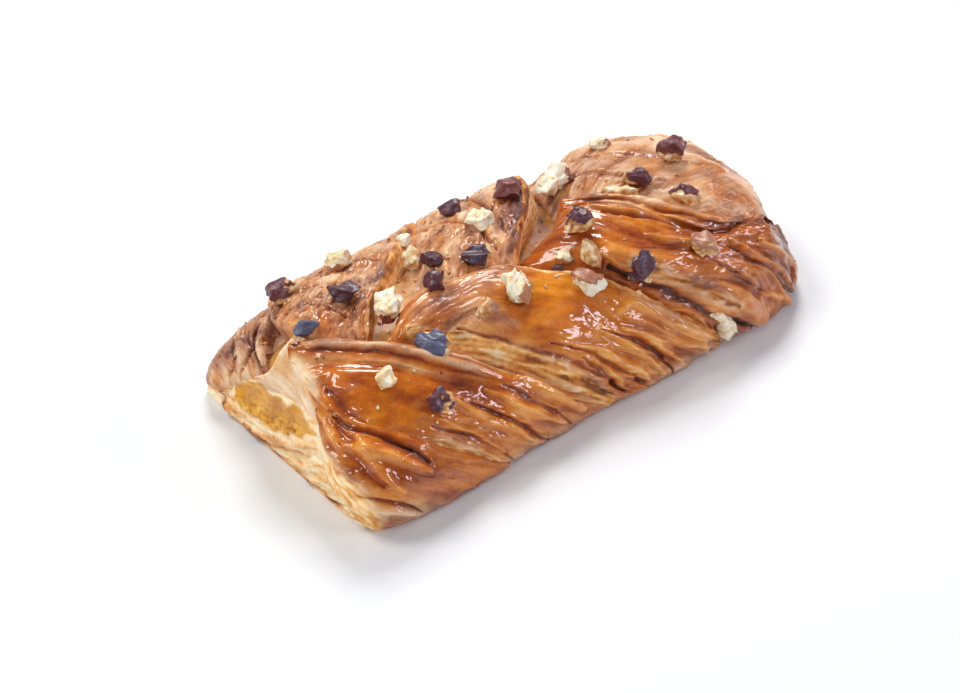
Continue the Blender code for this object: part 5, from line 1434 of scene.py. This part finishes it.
def flake(draw):
    """A thin torn leaf: an uneven outline, a little curled, with a top and an underside."""
    n = FLAKE_CORNERS
    turns = [2 * math.pi * (k + draw.uniform(-0.3, 0.3)) / n for k in range(n)]
    reach = [draw.uniform(*FLAKE_REACH) for _ in turns]
    curl = draw.uniform(*FLAKE_CURL)
    rim = np.array([(r * math.cos(t), FLAKE_NARROW * r * math.sin(t), curl * (r * math.cos(t)) ** 2)
                    for t, r in zip(turns, reach)]) * draw.uniform(*FLAKE_SIZE) / 2
    points = np.concatenate([rim + [0, 0, FLAKE_THICKNESS], rim]) - [0, 0, FLAKE_SUNK]
    faces = [tuple(range(n)), tuple(range(2 * n - 1, n - 1, -1))]
    faces += [(k, n + k, n + (k + 1) % n, (k + 1) % n) for k in range(n)]
    return points, faces


def crumb(draw):
    """A grain of broken nut."""
    points, faces = ball_of(1)
    stretch = [draw.uniform(*limits) for limits in CRUMB_STRETCH]
    points = points * np.array([draw.uniform(*CRUMB_UNEVEN) for _ in points])[:, None] * stretch
    return points * draw.uniform(*CRUMB_SIZE) / 2 + [0, 0, CRUMB_LIFT], faces


# %% Strewing
LOWEST_LANDING, STREWN_TILT = 2.0, 0.4


def scatter(name, shape, count, places, looks, finish, seed):
    """One mesh of many small bodies, at random places that a function picks."""
    draw = random.Random(seed)
    points, faces, masks = [], [], {}
    while count:
        spot, normal = landing(*places(draw))
        tilt = np.array([draw.uniform(-STREWN_TILT, STREWN_TILT) for _ in range(3)])
        look = looks(draw)
        if spot is None or spot[2] < LOWEST_LANDING:
            continue
        ways = frame_on((normal + tilt) / np.linalg.norm(normal + tilt), draw.uniform(0, 6.28))
        body, sides = shape(draw)
        first = sum(len(p) for p in points)
        points.append(spot + body @ ways)
        faces += [tuple(first + index for index in side) for side in sides]
        for mask, value in look.items():
            masks.setdefault(mask, []).append(np.full(len(body), value))
        count -= 1
    return add_piece(name, np.concatenate(points), faces,
                     {mask: np.concatenate(values) for mask, values in masks.items()}, finish)


# %% The scattered pieces
FLAKES, CRUMBS, DARK_CRUMBS = 200, 60, 0.15
NEAR_A_NUT = 3.5


def anywhere(draw):
    """A place on the loaf, more often on its far side."""
    return draw.uniform(-66, 70), draw.gauss(12, 12)


def by_a_nut(draw):
    """A place beside one of the nuts."""
    nut = draw.choice(NUTS)
    return nut.along + draw.gauss(0, NEAR_A_NUT), nut.around + draw.gauss(0, NEAR_A_NUT)


def flake_look(draw):
    """The masks of one flake."""
    return {"bake": draw.uniform(0.3, 0.7), "layers": draw.uniform(0.0, 0.6), "raised": 0.5,
            "streak": 0.5, "glaze": 0.4, "custard": 0.0}


def crumb_look(draw):
    """The masks of one crumb, with skin on a few."""
    dark = draw.random() < DARK_CRUMBS
    return {"skin": 1.0 if dark else 0.0, "tone": draw.uniform(0.4, 0.9),
            "toast": draw.uniform(0.1, 0.7)}


leaves = scatter("pastry_flakes", flake, FLAKES, anywhere, flake_look, DOUGH, 5)
crumbs = scatter("nut_crumbs", crumb, CRUMBS, by_a_nut, crumb_look, PECAN, 6)
for piece, slot in ((leaves, "baked_pastry"), (crumbs, "nut_flesh")):
    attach(piece, "root")
    print(piece.name, len(piece.data.polygons), "faces")

# %% [markdown]
# ## Floor, light and camera
#
# The picture was taken on white, in soft light that comes mostly from behind and above, so that
# the shadow falls towards the viewer. Large area lights give soft shadows and broad, bright
# reflections in the syrup; smaller ones give the crisp glints.

# %% The floor
CARD_TOOTH_SIZE, FLOOR_HALF, FLOOR_BELOW = 0.5, 1.5, 0.0001


def white_card():
    """Matt white card: it shows the soft shadow and nothing else."""
    finish, tree, shader = new_finish("white_card_matt")
    place = add_node(tree, "ShaderNodeTexCoord", output="Object")
    tooth = add_node(tree, "ShaderNodeTexNoise", {
        "Vector": place, "Scale": 1 / (CARD_TOOTH_SIZE * MM)})
    colour = add_node(tree, "ShaderNodeValToRGB", {"Fac": tooth}, [
        (0.0, "#E6E6E6"), (1.0, "#EAEAEA")])
    feed(shader, {"Base Color": colour, "Roughness": 0.9})
    return finish


floor_mesh = bpy.data.meshes.new("floor")
floor_mesh.from_pydata([(FLOOR_HALF * x, FLOOR_HALF * y, 0)
                        for x, y in ((-1, -1), (1, -1), (1, 1), (-1, 1))], [], [(0, 1, 2, 3)])
floor = bpy.data.objects.new("floor", floor_mesh)
floor.location.z = -FLOOR_BELOW
floor_mesh.materials.append(white_card())
bpy.context.scene.collection.objects.link(floor)


# %% The lights
WHITE, COOL_WHITE = "#FFFFFF", "#F6EEFF"
LEVEL, ALONG_THE_BRAID, ROUND_THE_END = (1.0, 0.0, 0.0), (0.38, 0.41, 0.21), (0.1, 0.6, -0.25)
LIGHT_AIM = Vector((0.0, 0.0, 0.012))
#   name, place in metres, power in watts, long and short side, where the long side runs, colour
SOFT_LIGHTS = [
    ("back_softbox", (0.33, 0.42, 0.62), 5.0, (0.30, 0.30), LEVEL, WHITE),
    ("left_top_softbox", (-0.33, 0.33, 0.68), 2.9, (0.28, 0.28), LEVEL, WHITE),
    ("left_low_softbox", (-0.66, -0.10, 0.22), 1.35, (0.18, 0.18), LEVEL, WHITE),
    ("front_top_lamp", (-0.20, -0.32, 0.70), 0.4, (0.14, 0.10), LEVEL, WHITE),
    ("right_front_strip", (0.45, -0.58, 0.36), 1.8, (0.36, 0.11), ALONG_THE_BRAID, COOL_WHITE),
    ("right_front_low_strip", (0.50, -0.62, 0.24), 0.45, (0.34, 0.034), ALONG_THE_BRAID,
     COOL_WHITE),
    ("right_strip", (0.76, -0.20, 0.42), 0.9, (0.30, 0.08), ROUND_THE_END, COOL_WHITE),
]


def soft_light(name, place, power, size, long_way, colour):
    """A softbox turned towards the braid."""
    lamp = bpy.data.lights.new(name, "AREA")
    lamp.shape = "RECTANGLE"
    lamp.energy, (lamp.size, lamp.size_y), lamp.color = power, size, linear(colour)[:3]
    light = bpy.data.objects.new(name, lamp)
    back = (Vector(place) - LIGHT_AIM).normalized()
    long_way = Vector(long_way)
    long_way = (long_way - back * back.dot(long_way)).normalized()
    light.matrix_world = Matrix([long_way, back.cross(long_way), back]).transposed().to_4x4()
    light.location = place
    bpy.context.scene.collection.objects.link(light)


for row in SOFT_LIGHTS:
    soft_light(*row)
print(len(SOFT_LIGHTS), "soft lights")

world = bpy.data.worlds.new("white_room")
world.use_nodes = True
feed(world.node_tree.nodes["Background"], {"Color": linear("#DAF0F6"), "Strength": 0.18})
bpy.context.scene.world = world
bpy.context.scene.view_settings.view_transform = "Standard"

# %% The camera
LENS, SENSOR_WIDTH, CLIP_FROM = 100.0, 36.0, 0.01
camera = bpy.data.objects.new("camera", bpy.data.cameras.new("camera"))
camera.data.lens, camera.data.sensor_width, camera.data.clip_start = LENS, SENSOR_WIDTH, CLIP_FROM
camera.location = Vector(CAMERA_TARGET + TOWARDS_EYE * CAMERA_DISTANCE) * MM
camera.rotation_euler = Vector(TOWARDS_EYE).to_track_quat("Z", "Y").to_euler()
bpy.context.scene.collection.objects.link(camera)
bpy.context.scene.camera = camera
